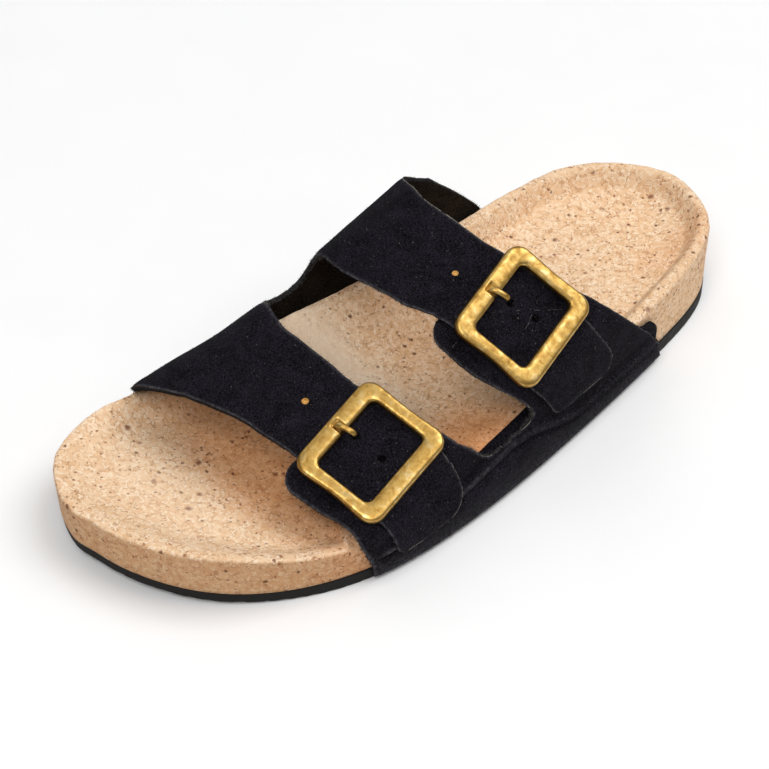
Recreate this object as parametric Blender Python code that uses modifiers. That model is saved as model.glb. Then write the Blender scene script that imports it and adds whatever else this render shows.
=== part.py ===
"""Left buckle footbed sandal: cork footbed, thin outsole, two-strap suede upper and two brass buckles.

Sizes are in millimetres and are scaled to metres when a mesh is made.
The toe points along -Y, the outer side of the foot along +X, and the sole stands on z = 0.
"""
import math

import bmesh
import bpy
import numpy as np

MM = 0.001

# Middle of the finished sandal in the plan of its sole; the model's origin is moved there
CENTRE_X = 2.45
CENTRE_Y = -1.0

# Sole
SOLE_LENGTH = 255.0
HEEL_X = -1.7
TOE_X = -14.5
SOLE_AT_HEEL = 6.2
SOLE_AT_TOE = 4.8
SOLE_CHAMFER = 0.8
TOE_SPRING = 3.0
TOE_SPRING_START = 0.80
SEAT = 0.3

# Outline of the outsole: station from heel 0 to toe 1, outer side x, inner side x
OUTLINE = (
    (0.030, 20.5, -20.1),
    (0.090, 31.4, -32.6),
    (0.180, 37.6, -36.6),
    (0.300, 43.2, -35.4),
    (0.420, 47.9, -33.8),
    (0.540, 51.6, -35.8),
    (0.650, 53.0, -41.9),
    (0.750, 51.0, -47.8),
    (0.840, 43.5, -50.0),
    (0.910, 32.2, -47.0),
    (0.965, 15.4, -38.6),
)

# Footbed: station, rim height outer side, rim height inner side, bed height on the centre line,
# width of the slope inside the rim on the outer side and on the inner side
FOOTBED = (
    (0.00, 31.0, 31.0, 21.0, 17.0, 17.0),
    (0.20, 27.4, 29.8, 20.4, 17.0, 19.0),
    (0.35, 23.0, 30.6, 19.6, 16.0, 28.0),
    (0.50, 20.0, 30.4, 17.6, 14.0, 30.0),
    (0.60, 18.2, 28.0, 15.2, 13.0, 26.0),
    (0.70, 15.8, 23.4, 13.0, 12.0, 18.0),
    (0.82, 15.2, 20.0, 12.4, 11.0, 12.0),
    (1.00, 19.2, 19.2, 14.6, 11.0, 11.0),
)
RIM_RADIUS = 2.6
RIM_WRAPPED = 7.0
CORK_INSET = 0.2
TOE_FLARE = 2.2
FLARE_FROM = 0.78
FLARE_FADE = 0.12
WRAP_REACH = 14.0
WRAP_FADE = 10.0
SPINE_FROM = 0.17
SPINE_TO = 0.82
HALF_WIDTH_LEAST = 6.0
# Rings of the sole and bed, as distances in from the wall; past the limit they close on the spine
INSET_LIMIT = 20.0
CORE_INSET = 60.0
RIM_ANGLES = (0.0, 30.0, 60.0, 90.0)
BED_INSETS = (2.5, 5.0, 8.0, 11.5, 15.5, 20.0, 27.0, CORE_INSET)

# Upper: wall, and how far a strap climbs over its tab
WALL = 2.2
LAP = 1.7
LAP_BEFORE = 0.75
LAP_LENGTH = 0.70
SHOULDER_ANGLES = (32.0, 62.0)
RIDGE_X = 8.0
TAB_X = 22.0
MIDDLE_X = 36.0
FOLD_OUT = 0.3
PANEL_FOOT = 2.5
INSIDE_Z = 15.0

# Cross sections of the upper: y, inner wall x and z, crown x and z, then z at the ridge, tab and
# middle lines, then x and z of the outer knuckle and of the outer side, then z of the fold
SECTIONS = (
    (-88.0, -52.6, 17.0, -22.0, 35.4, 34.2, 26.0, 20.2, 40.0, 17.0, 43.2, 12.0, 8.0),
    (-72.0, -51.8, 20.0, -22.0, 37.8, 36.2, 30.4, 25.4, 45.6, 20.8, 50.0, 14.0, 8.6),
    (-52.0, -49.0, 25.0, -20.0, 41.0, 39.0, 36.4, 31.2, 48.8, 25.6, 53.0, 17.6, 11.0),
    (-34.0, -45.6, 31.0, -18.0, 47.8, 46.6, 42.0, 36.8, 48.6, 30.0, 52.0, 20.5, 14.0),
    (-14.0, -42.6, 37.0, -15.0, 60.0, 59.0, 53.2, 44.4, 47.0, 34.5, 49.4, 22.5, 15.6),
    (10.0, -41.0, 45.0, -13.0, 66.6, 64.0, 58.0, 49.0, 47.2, 40.8, 50.2, 27.5, 15.5),
    (32.0, -39.8, 51.0, -12.0, 72.4, 68.8, 62.2, 53.2, 45.6, 44.0, 48.4, 29.5, 15.5),
    (75.0, -39.0, 54.0, -12.0, 76.0, 72.6, 66.0, 55.0, 41.8, 41.0, 41.4, 28.0, 14.5),
)

# Edges of the inner quarter and its straps: girth place, then y of the front strap's front and rear
# edge and of the rear strap's front and rear edge
STRAP_EDGES = (
    (0.0, -85.0, -31.0, -12.5, 77.0),
    (1.0, -86.4, -31.0, -12.5, 64.0),
    (2.0, -87.0, -31.0, -12.5, 43.0),
    (3.0, -86.4, -34.0, -14.5, 30.0),
    (4.0, -85.0, -38.0, -17.5, 20.5),
    (5.0, -81.5, -41.6, -19.2, 17.0),
    (6.0, -72.8, -41.4, -16.4, 18.0),
    (7.0, -69.8, -40.6, -10.6, 20.6),
    (8.0, -66.8, -37.6, -4.6, 26.6),
    (9.0, -63.6, -34.2, 1.0, 32.0),
    (10.0, -60.4, -31.2, 9.0, 41.0),
    (11.0, -59.8, -30.6, 14.0, 48.0),
    (12.0, -59.8, -30.6, 18.0, 52.0),
)
GAP_FOOT = 1.94
GAP_ROUND = 8.0
FRONT_TIP = 11.05
REAR_TIP = 10.50
TIP_ROUND = 8.0
# Girth places of the mesh rows, from the sole edge up and over to the strap ends
STRAP_ROWS = (
    0.0, 0.5, 1.0, 1.5, GAP_FOOT, 2.0, 2.1, 2.26, 2.49, 2.79, 3.19, 3.64, 4.04, 4.54, 5.0, 5.35, 5.7, 6.0,
    6.2, 6.4, 6.6, 6.85, 7.2, 7.6, 8.0, 8.5, 9.0, 9.35, 9.7, 9.95, 10.2, 10.34, 10.44, REAR_TIP, 10.68,
    10.84, 10.95, FRONT_TIP,
)
STRAP_COLUMNS = (7, 4, 7)

# Edges of the outer quarter and its tabs: girth place, then y of the front tab's front and rear edge
# and of the rear tab's front and rear edge
TAB_EDGES = (
    (6.0, -79.0, -38.0, -19.5, 16.0),
    (7.0, -78.4, -36.0, -16.6, 22.0),
    (8.0, -75.0, -33.0, -12.6, 33.0),
    (9.0, -71.2, -27.5, -4.6, 43.5),
    (10.0, -69.6, -19.0, 4.0, 56.0),
    (11.0, -68.0, -17.0, 6.0, 68.0),
    (12.0, -66.8, -17.0, 6.0, 79.0),
)
NOTCH_FOOT = 10.30
NOTCH_ROUND = 4.0
TAB_TOP = 6.85
TAB_ROUND = 7.0
TAB_ROWS = (
    12.0, 11.5, 11.0, 10.65, NOTCH_FOOT, 10.22, 10.1, 9.9, 9.6, 9.3, 9.0, 8.5, 8.0, 7.5, 7.25, 7.1, 7.0,
    6.94, TAB_TOP,
)
TAB_COLUMNS = (8, 5, 9)

# Buckles: length along the strap, width across it, bar widths, bar height and corner radius
BUCKLE_LENGTH = 33.0
BUCKLE_WIDTH = 37.6
END_BAR = 6.2
SIDE_BAR = 5.0
BAR_HEIGHT = 2.8
CORNER = 5.0
INNER_CORNER = 2.2
CORNER_STEPS = 4
# Section of a bar: share of its width, share of its height
BAR_PROFILE = (
    (0.0, 0.0),
    (0.0, 0.45),
    (0.12, 0.80),
    (0.32, 1.0),
    (0.68, 1.0),
    (0.88, 0.80),
    (1.0, 0.45),
    (1.0, 0.0),
)
# Spots where a frame is laid on its strap, as shares of its length and width
SEAT_ALONG = (-0.42, -0.19, 0.14, 0.37)
SEAT_ACROSS = (-0.39, 0.0, 0.39)
# name, centre x, centre y, direction of the strap in plan in degrees from +X
BUCKLES = (
    ("front", 34.6, -52.4, 12.4),
    ("back", 34.1, 11.2, 23.5),
)
PRONG_WIDTH = 2.0
PRONG_HEIGHT = 1.5
PRONG_REACH = 10.0
PRONG_BACK = 1.2
PRONG_SIDES = 8

AROUND = 96
OUTLINE_SAMPLES = 720
SPAN_SAMPLES = 60
NORMAL_STEP = 0.2


def curve(xs, ys, at):
    """Smooth curve through the points of a table, with straight ends."""
    xs = np.asarray(xs, float)
    ys = np.asarray(ys, float)
    at = np.asarray(at, float)
    step = np.diff(xs)
    slope = np.diff(ys) / step
    tangent = np.empty_like(ys)
    tangent[1:-1] = (slope[:-1] * step[1:] + slope[1:] * step[:-1]) / (step[:-1] + step[1:])
    tangent[0] = slope[0]
    tangent[-1] = slope[-1]
    i = np.clip(np.searchsorted(xs, at, side="right") - 1, 0, len(step) - 1)
    u = (at - xs[i]) / step[i]
    inside = np.clip(u, 0.0, 1.0)
    h = step[i]
    a = ys[i] * (1 - inside) ** 2 * (1 + 2 * inside) + ys[i + 1] * inside ** 2 * (3 - 2 * inside)
    b = tangent[i] * inside * (1 - inside) ** 2 - tangent[i + 1] * inside ** 2 * (1 - inside)
    beyond = (u - inside) * h * np.where(u < 0, tangent[i], tangent[i + 1])
    return a + b * h + beyond


def column(table, index):
    """One column of a table."""
    return [row[index] for row in table]


def station(y):
    """Place along the sole, 0 at the heel and 1 at the toe."""
    return 0.5 - np.asarray(y, float) / SOLE_LENGTH


def closed_spline(points, count):
    """Even samples of a periodic cubic curve through points."""
    pts = np.asarray(points, float)
    n = len(pts)
    chord = np.sqrt(np.linalg.norm(np.roll(pts, -1, 0) - pts, axis=1))
    matrix = np.zeros((n, n))
    right = np.zeros((n, 2))
    for k in range(n):
        before = chord[k - 1]
        after = chord[k]
        nxt = (k + 1) % n
        matrix[k, k - 1] += before / 6
        matrix[k, k] += (before + after) / 3
        matrix[k, nxt] += after / 6
        right[k] = (pts[nxt] - pts[k]) / after - (pts[k] - pts[k - 1]) / before
    bend = np.linalg.solve(matrix, right)
    dense = []
    for k in range(n):
        nxt = (k + 1) % n
        h = chord[k]
        for u in np.linspace(0.0, 1.0, SPAN_SAMPLES, endpoint=False):
            a = 1 - u
            dense.append(a * pts[k] + u * pts[nxt]
                         + h * h / 6 * ((a ** 3 - a) * bend[k] + (u ** 3 - u) * bend[nxt]))
    dense = np.array(dense)
    loop = np.vstack([dense, dense[:1]])
    run = np.r_[0.0, np.cumsum(np.linalg.norm(np.diff(loop, axis=0), axis=1))]
    want = np.linspace(0.0, run[-1], count, endpoint=False)
    return np.c_[np.interp(want, run, loop[:, 0]), np.interp(want, run, loop[:, 1])]


def sole_outline(count):
    """Outline of the outsole, from the heel along the outer side to the toe and back."""
    pts = [(HEEL_X, SOLE_LENGTH / 2)]
    pts += [(outer, (0.5 - s) * SOLE_LENGTH) for s, outer, inner in OUTLINE]
    pts += [(TOE_X, -SOLE_LENGTH / 2)]
    pts += [(inner, (0.5 - s) * SOLE_LENGTH) for s, outer, inner in reversed(OUTLINE)]
    return closed_spline(pts, count)


def inward(loop):
    """Unit normals of a closed outline, pointing in."""
    along = np.roll(loop, -1, 0) - np.roll(loop, 1, 0)
    along /= np.linalg.norm(along, axis=1)[:, None]
    normal = np.c_[along[:, 1], -along[:, 0]]
    if np.sum((loop.mean(0) - loop) * normal) < 0:
        normal = -normal
    return normal


LOOP = sole_outline(OUTLINE_SAMPLES)
TOE_INDEX = int(np.argmin(LOOP[:, 1]))


def outer_x(y):
    """Outer side of the outline at y."""
    side = LOOP[:TOE_INDEX + 1]
    return np.interp(-np.asarray(y, float), -side[:, 1], side[:, 0])


def inner_x(y):
    """Inner side of the outline at y."""
    side = LOOP[TOE_INDEX:][::-1]
    return np.interp(-np.asarray(y, float), -side[:, 1], side[:, 0])


def sole_bottom(y):
    """Ground side of the outsole, with toe spring."""
    lift = np.clip((station(y) - TOE_SPRING_START) / (1 - TOE_SPRING_START), 0.0, 1.0)
    return TOE_SPRING * lift ** 2


def sole_top(y):
    """Upper face of the outsole."""
    return sole_bottom(y) + SOLE_AT_HEEL + (SOLE_AT_TOE - SOLE_AT_HEEL) * station(y)


def smooth(u):
    """Soft step from 0 to 1."""
    u = np.clip(u, 0.0, 1.0)
    return u * u * (3 - 2 * u)


def wrap_share(y, outer):
    """1 where the upper wraps the side of the cork, 0 at the bare toe and heel."""
    edges = TAB_EDGES[-1] if outer else STRAP_EDGES[0]
    front = edges[1]
    rear = edges[4]
    return smooth((y - front + WRAP_REACH) / WRAP_FADE) * smooth((rear + WRAP_REACH - y) / WRAP_FADE)


def spine_point(y):
    """Point on the middle line of the footbed."""
    s = np.clip(station(y), SPINE_FROM, SPINE_TO)
    yy = (0.5 - s) * SOLE_LENGTH
    return np.stack([(outer_x(yy) + inner_x(yy)) / 2, yy], axis=-1)


def bed_values(y, share):
    """Rim height, bed height and slope width; share is 1 on the outer side and 0 on the inner."""
    s = station(y)
    col = [curve(column(FOOTBED, 0), column(FOOTBED, k), s) for k in range(1, 6)]
    rim = share * col[0] + (1 - share) * col[1]
    width = share * col[3] + (1 - share) * col[4]
    return rim, col[2], width


def new_mesh(name, verts, faces):
    """Mesh object from millimetre vertices."""
    mesh = bpy.data.meshes.new(name)
    placed = np.asarray(verts, float) - (CENTRE_X, CENTRE_Y, 0.0)
    mesh.from_pydata([tuple(float(c) * MM for c in v) for v in placed], [], faces)
    bm = bmesh.new()
    bm.from_mesh(mesh)
    big = [f for f in bm.faces if len(f.verts) > 4]
    bmesh.ops.triangulate(bm, faces=big)
    bmesh.ops.recalc_face_normals(bm, faces=bm.faces)
    bm.to_mesh(mesh)
    bm.free()
    mesh.polygons.foreach_set("use_smooth", [True] * len(mesh.polygons))
    obj = bpy.data.objects.new(name, mesh)
    return obj


def loft_rings(name, rings):
    """Closed solid through rings of equal count, capped at both ends."""
    count = len(rings[0])
    verts = np.vstack(rings)
    faces = []
    for r in range(len(rings) - 1):
        a = r * count
        b = a + count
        for i in range(count):
            j = (i + 1) % count
            faces.append((a + i, a + j, b + j, b + i))
    faces.append(tuple(range(count - 1, -1, -1)))
    last = (len(rings) - 1) * count
    faces.append(tuple(range(last, last + count)))
    return new_mesh(name, verts, faces)


def ring_frame(count):
    """Outline samples with inward normals and side share."""
    loop = sole_outline(count)
    normal = inward(loop)
    y = loop[:, 1]
    middle = (outer_x(y) + inner_x(y)) / 2
    half = np.maximum((outer_x(y) - inner_x(y)) / 2, HALF_WIDTH_LEAST)
    share = smooth(0.5 + 0.5 * (loop[:, 0] - middle) / half)
    return loop, normal, share


def plan_ring(loop, normal, inset, limit):
    """Outline moved in by inset; past the limit it shrinks towards the spine."""
    edge = loop + normal * np.minimum(inset, limit)[:, None]
    goal = spine_point(edge[:, 1])
    gap = np.linalg.norm(goal - edge, axis=1)
    more = np.clip((inset - limit) / np.maximum(gap, 1e-6), 0.0, 0.97)
    return edge + (goal - edge) * more[:, None]


def build_outsole():
    """Thin sole with a small chamfer at the ground and toe spring."""
    loop, normal, share = ring_frame(AROUND)
    zero = np.zeros(AROUND)
    rings = []
    for inset, height in ((CORE_INSET, 0.0), (INSET_LIMIT, 0.0), (SOLE_CHAMFER, 0.0), (0.0, SOLE_CHAMFER),
                          (0.0, None), (INSET_LIMIT, None), (CORE_INSET, None)):
        plan = plan_ring(loop, normal, zero + inset, INSET_LIMIT)
        z = sole_top(plan[:, 1]) if height is None else sole_bottom(plan[:, 1]) + height
        rings.append(np.c_[plan, z])
    return loft_rings("outsole", rings)


def bed_height(y, share, inset, start):
    """Top of the cork at a distance in from its wall."""
    rim, bed, width = bed_values(y, share)
    fall = np.clip((inset - start) / width, 0.0, 1.0)
    return bed + (rim - bed) * 0.5 * (1 + np.cos(math.pi * fall))


def build_footbed():
    """Cork block: flat below, upright wall, rounded rim, heel cup, arch and toe ridge."""
    loop, normal, share = ring_frame(AROUND)
    y = loop[:, 1]
    wrapped = np.where(share > 0.5, wrap_share(y, True), wrap_share(y, False))
    wall = loop + normal * CORK_INSET
    flare = TOE_FLARE * smooth((station(y) - FLARE_FROM) / FLARE_FADE) * (1 - wrapped)
    radius = RIM_RADIUS + (RIM_WRAPPED - RIM_RADIUS) * wrapped * (share > 0.5)
    zero = np.zeros(AROUND)
    rings = []
    for deep in (CORE_INSET, INSET_LIMIT, 0.0):
        plan = plan_ring(wall, normal, zero + deep, INSET_LIMIT)
        rings.append(np.c_[plan, sole_top(plan[:, 1]) + SEAT])
    rim = bed_values(y, share)[0]
    brim = wall - normal * flare[:, None]
    for angle in RIM_ANGLES:
        a = math.radians(angle)
        plan = brim + normal * (radius * (1 - math.cos(a)))[:, None]
        rings.append(np.c_[plan, rim - radius * (1 - math.sin(a))])
    for deep in BED_INSETS:
        plan = plan_ring(brim, normal, radius + deep, INSET_LIMIT)
        moved = np.linalg.norm(plan - brim, axis=1)
        z = bed_height(plan[:, 1], share, moved, radius)
        rings.append(np.c_[plan, z])
    return loft_rings("footbed", rings)


def section_nodes(y):
    """Girth nodes of the upper at y, from the inner sole edge over the foot to the outer sole edge."""
    col = [float(curve(column(SECTIONS, 0), column(SECTIONS, k), y)) for k in range(1, 13)]
    wall_x, wall_z, crown_x, crown_z, ridge_z, tab_z, mid_z, kn_x, kn_z, side_x, side_z, fold_z = col
    foot_z = float(sole_bottom(y)) + PANEL_FOOT
    inner = float(inner_x(y)) - WALL - SEAT
    outer = float(outer_x(y)) + WALL + SEAT
    wide = crown_x - wall_x
    high = crown_z - wall_z
    nodes = [(inner, foot_z), ((inner + wall_x) / 2, (foot_z + wall_z) / 2), (wall_x, wall_z)]
    for angle in SHOULDER_ANGLES:
        a = math.radians(angle)
        nodes.append((wall_x + wide * (1 - math.cos(a)), wall_z + high * math.sin(a)))
    nodes += [(crown_x, crown_z), (RIDGE_X, ridge_z), (TAB_X, tab_z), (MIDDLE_X, mid_z)]
    nodes += [(kn_x, kn_z), (side_x, side_z), (outer + FOLD_OUT, fold_z), (outer, foot_z)]
    return np.array(nodes)


def skin_point(girth, y, lift):
    """Point of the upper's outer face, raised by lift along the section's normal."""
    nodes = section_nodes(y)
    run = np.r_[0.0, np.cumsum(np.linalg.norm(np.diff(nodes, axis=0), axis=1))]
    at = np.interp(girth, np.arange(len(nodes)), run)
    around = [at - NORMAL_STEP, at, at + NORMAL_STEP]
    x = curve(run, nodes[:, 0], around)
    z = curve(run, nodes[:, 1], around)
    dx = x[2] - x[0]
    dz = z[2] - z[0]
    size = math.hypot(dx, dz)
    return np.array([x[1] - dz / size * lift, y, z[1] + dx / size * lift])


def girth_length(y, low, high):
    """Length of the section at y between two girth places."""
    nodes = section_nodes(y)
    run = np.r_[0.0, np.cumsum(np.linalg.norm(np.diff(nodes, axis=0), axis=1))]
    return float(np.interp(high, np.arange(len(run)), run) - np.interp(low, np.arange(len(run)), run))


def corner_inset(distance, radius):
    """How far a rounded corner stands back at a distance from its end."""
    left = max(radius - distance, 0.0)
    return radius - math.sqrt(max(radius * radius - left * left, 0.0))


def comb_rows(table, foot, foot_round, ends, end_round, places):
    """Edge places of a quarter with two teeth, for each girth place on the way up."""
    rows = []
    sign = 1.0 if ends[0] > foot else -1.0
    for g in places:
        edge = [float(curve(column(table, 0), column(table, k), g)) for k in range(1, 5)]
        above = (g - foot) * sign
        mid_y = (edge[1] + edge[2]) / 2
        if above < 0:
            hold = [float(curve(column(table, 0), column(table, k), foot)) for k in (2, 3)]
            edge[1] = hold[0] + foot_round
            edge[2] = hold[1] - foot_round
        else:
            gap = abs(girth_length(mid_y, foot, g))
            back = corner_inset(gap, foot_round)
            edge[1] += back
            edge[2] -= back
        for tooth, end in enumerate(ends):
            centre = (edge[2 * tooth] + edge[2 * tooth + 1]) / 2
            left = girth_length(centre, g, end) * sign
            back = corner_inset(max(left, 0.0), end_round)
            edge[2 * tooth] += back
            edge[2 * tooth + 1] -= back
        rows.append((g, edge, above < -1e-6))
    return rows


def comb_sheet(name, rows, ends, counts, lift_at):
    """Sheet over the girth rows: a solid quarter below the gap and two teeth above it."""
    sign = 1.0 if ends[0] > rows[0][0] else -1.0
    verts = []
    index = {}
    faces = []
    total = sum(counts)
    starts = (0, counts[0], counts[0] + counts[1], total)

    def vert(r, c):
        key = (r, c)
        if key not in index:
            g, edge, _ = rows[r]
            band = 0 if c <= starts[1] else 1 if c <= starts[2] else 2
            u = (c - starts[band]) / counts[band]
            y = edge[band] + (edge[band + 1] - edge[band]) * u
            index[key] = len(verts)
            verts.append(skin_point(g, y, lift_at(g)))
        return index[key]

    for r in range(len(rows) - 1):
        for c in range(total):
            band = 0 if c < starts[1] else 1 if c < starts[2] else 2
            if band == 1 and not rows[r][2]:
                continue
            if band != 1:
                end = ends[0] if band == 0 else ends[1]
                if (rows[r + 1][0] - end) * sign > 1e-6:
                    continue
            faces.append((vert(r, c), vert(r, c + 1), vert(r + 1, c + 1), vert(r + 1, c)))
    return new_mesh(name, verts, faces)


def apply_modifiers(obj):
    """Replace an object's mesh with its finished shape."""
    bpy.context.view_layer.update()
    graph = bpy.context.evaluated_depsgraph_get()
    mesh = bpy.data.meshes.new_from_object(obj.evaluated_get(graph))
    obj.modifiers.clear()
    obj.data = mesh


def thicken(obj, thickness):
    """Give a sheet its wall, inwards from the outer face."""
    solid = obj.modifiers.new("wall", "SOLIDIFY")
    solid.thickness = thickness * MM
    solid.offset = -1.0
    solid.use_even_offset = True
    apply_modifiers(obj)


def face_outwards(obj):
    """Turn a sheet so that its faces look away from the foot."""
    bm = bmesh.new()
    bm.from_mesh(obj.data)
    score = 0.0
    for face in bm.faces:
        centre = face.calc_center_median()
        away = (centre.x * face.normal.x + (centre.z - INSIDE_Z * MM) * face.normal.z)
        score += away * face.calc_area()
    if score < 0:
        bmesh.ops.reverse_faces(bm, faces=bm.faces)
    bm.to_mesh(obj.data)
    bm.free()


def clean_seams(obj):
    """Drop points that only split a straight edge, then cut the faces into triangles."""
    bm = bmesh.new()
    bm.from_mesh(obj.data)
    loose = [v for v in bm.verts if len(v.link_edges) == 2]
    bmesh.ops.dissolve_verts(bm, verts=loose)
    bmesh.ops.triangulate(bm, faces=bm.faces)
    bm.to_mesh(obj.data)
    bm.free()


def lap_lift(g):
    """Straps climb onto their tabs just before the tab begins."""
    return LAP * float(smooth((g - TAB_TOP + LAP_BEFORE) / LAP_LENGTH))


def flat_lift(g):
    """Tabs and quarters lie on the base face."""
    return 0.0


def build_upper(parts, cutters):
    """Inner quarter with two straps, joined to the outer quarter with its two tabs."""
    ends = (FRONT_TIP, REAR_TIP)
    rows = comb_rows(STRAP_EDGES, GAP_FOOT, GAP_ROUND, ends, TIP_ROUND, STRAP_ROWS)
    straps = comb_sheet("upper", rows, ends, STRAP_COLUMNS, lap_lift)
    ends = (TAB_TOP, TAB_TOP)
    rows = comb_rows(TAB_EDGES, NOTCH_FOOT, NOTCH_ROUND, ends, TAB_ROUND, TAB_ROWS)
    tabs = comb_sheet("tabs", rows, ends, TAB_COLUMNS, flat_lift)
    parts.objects.link(straps)
    cutters.objects.link(tabs)
    for sheet in (straps, tabs):
        face_outwards(sheet)
        thicken(sheet, WALL)
    join = straps.modifiers.new("join", "BOOLEAN")
    join.operation = "UNION"
    join.solver = "EXACT"
    join.object = tabs
    apply_modifiers(straps)
    clean_seams(straps)
    return straps


def strap_height(x, y):
    """Top of the strap layer over the tab at a place in plan."""
    places = np.linspace(6.0, 9.9, 80)
    pts = np.array([skin_point(g, y, lap_lift(g)) for g in places])
    return float(np.interp(x, pts[:, 0], pts[:, 2]))


def buckle_plane(cx, cy, heading):
    """Frame axes and seat point of a buckle lying on its strap."""
    a = math.radians(heading)
    along = np.array([math.cos(a), math.sin(a)])
    across = np.array([-math.sin(a), math.cos(a)])
    rows = []
    for u in SEAT_ALONG:
        for v in SEAT_ACROSS:
            p = np.array([cx, cy]) + along * u * BUCKLE_LENGTH + across * v * BUCKLE_WIDTH
            rows.append((p[0] - cx, p[1] - cy, strap_height(p[0], p[1])))
    rows = np.array(rows)
    design = np.c_[rows[:, :2], np.ones(len(rows))]
    fit = np.linalg.lstsq(design, rows[:, 2], rcond=None)[0]
    normal = np.array([-fit[0], -fit[1], 1.0])
    normal /= np.linalg.norm(normal)
    worst = float(np.max(rows[:, 2] - design @ fit)) * normal[2]
    x_axis = np.array([along[0], along[1], fit[0] * along[0] + fit[1] * along[1]])
    x_axis /= np.linalg.norm(x_axis)
    y_axis = np.cross(normal, x_axis)
    seat = np.array([cx, cy, fit[2]]) + normal * (worst + SEAT)
    return seat, x_axis, y_axis, normal


def rounded_rectangle(length, width, radius, steps):
    """Corner-rounded rectangle as a loop of plan points."""
    pts = []
    for qx, qy, start in ((1, 1, 0), (-1, 1, 90), (-1, -1, 180), (1, -1, 270)):
        for k in range(steps + 1):
            a = math.radians(start + 90.0 * k / steps)
            pts.append((qx * (length / 2 - radius) + radius * math.cos(a),
                        qy * (width / 2 - radius) + radius * math.sin(a)))
    return np.array(pts)


def build_frame(name, place):
    """Rectangular buckle frame with domed bars."""
    seat, ax, ay, normal = place
    outer = rounded_rectangle(BUCKLE_LENGTH, BUCKLE_WIDTH, CORNER, CORNER_STEPS)
    open_length = BUCKLE_LENGTH - 2 * END_BAR
    open_width = BUCKLE_WIDTH - 2 * SIDE_BAR
    inner = rounded_rectangle(open_length, open_width, INNER_CORNER, CORNER_STEPS)
    count = len(outer)
    verts = []
    for share, height in BAR_PROFILE:
        plan = outer + (inner - outer) * share
        for u, v in plan:
            verts.append(seat + ax * u + ay * v + normal * (height * BAR_HEIGHT))
    faces = []
    for r in range(len(BAR_PROFILE)):
        nxt = (r + 1) % len(BAR_PROFILE)
        for i in range(count):
            j = (i + 1) % count
            faces.append((r * count + i, r * count + j, nxt * count + j, nxt * count + i))
    return new_mesh(name, verts, faces)


def build_prong(name, place):
    """Short prong over the inner bar, dipping to the strap."""
    seat, ax, ay, normal = place
    start = -BUCKLE_LENGTH / 2 + PRONG_BACK
    bar_end = -BUCKLE_LENGTH / 2 + END_BAR
    over = BAR_HEIGHT + SEAT
    tip = start + PRONG_REACH
    # along, underside height, half width, thickness
    path = (
        (start, over, 0.85, 1.1),
        (start + 1.2, over, 1.0, PRONG_HEIGHT),
        (bar_end - 0.6, over, 1.0, PRONG_HEIGHT),
        (bar_end + 0.6, over - 0.3, 1.0, PRONG_HEIGHT),
        (bar_end + 2.2, SEAT + 0.9, 0.9, 1.4),
        (tip, SEAT, 0.6, 1.0),
    )
    verts = []
    sides = PRONG_SIDES
    for u, low, half, thick in path:
        for k in range(sides):
            a = 2 * math.pi * (k + 0.5) / sides
            v = half * PRONG_WIDTH / 2 * math.cos(a) / math.cos(math.pi / sides)
            h = low + thick / 2 * (1 + math.sin(a) / math.cos(math.pi / sides))
            verts.append(seat + ax * u + ay * v + normal * h)
    faces = []
    for r in range(len(path) - 1):
        for k in range(sides):
            n = (k + 1) % sides
            faces.append((r * sides + k, r * sides + n, (r + 1) * sides + n, (r + 1) * sides + k))
    faces.append(tuple(range(sides - 1, -1, -1)))
    last = (len(path) - 1) * sides
    faces.append(tuple(range(last, last + sides)))
    return new_mesh(name, verts, faces)


def material(name, colour, roughness, metallic):
    """Plain material of one sub-part."""
    mat = bpy.data.materials.new(name)
    mat.use_nodes = True
    shader = mat.node_tree.nodes["Principled BSDF"]
    shader.inputs["Base Color"].default_value = (*colour, 1.0)
    shader.inputs["Roughness"].default_value = roughness
    shader.inputs["Metallic"].default_value = metallic
    return mat


def main():
    for obj in list(bpy.data.objects):
        bpy.data.objects.remove(obj)
    parts = bpy.data.collections.new("buckle_footbed_sandal")
    cutters = bpy.data.collections.new("cutters")
    bpy.context.scene.collection.children.link(parts)
    bpy.context.scene.collection.children.link(cutters)
    rubber = material("outsole_rubber", (0.012, 0.012, 0.014), 0.7, 0.0)
    cork = material("cork", (0.62, 0.42, 0.26), 0.85, 0.0)
    suede = material("suede", (0.010, 0.010, 0.013), 0.95, 0.0)
    brass = material("brass", (0.50, 0.33, 0.09), 0.35, 1.0)
    outsole = build_outsole()
    parts.objects.link(outsole)
    outsole.data.materials.append(rubber)
    footbed = build_footbed()
    parts.objects.link(footbed)
    footbed.data.materials.append(cork)
    upper = build_upper(parts, cutters)
    upper.data.materials.clear()
    upper.data.materials.append(suede)
    for place_name, cx, cy, heading in BUCKLES:
        place = buckle_plane(cx, cy, heading)
        for obj in (build_frame("buckle_frame_" + place_name, place),
                    build_prong("buckle_prong_" + place_name, place)):
            parts.objects.link(obj)
            obj.data.materials.append(brass)
    for obj in cutters.objects:
        obj.hide_render = True
        obj.display_type = "WIRE"


main()
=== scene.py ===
# %% [markdown]
# # A left buckle footbed sandal
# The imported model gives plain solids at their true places. This lesson dresses them: cork, suede, brass
# and sole rubber, each piece made again at a fine resolution from nearly the same sizes, so that it lies
# on its plain solid or close to it. Sizes below are in millimetres. The toe points along -Y, the outer
# side of the foot along +X, and the sole stands on z = 0.

import math

import bmesh
import bpy
import numpy as np
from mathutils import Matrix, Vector, noise
from mathutils.bvhtree import BVHTree
from mathutils.kdtree import KDTree


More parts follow.
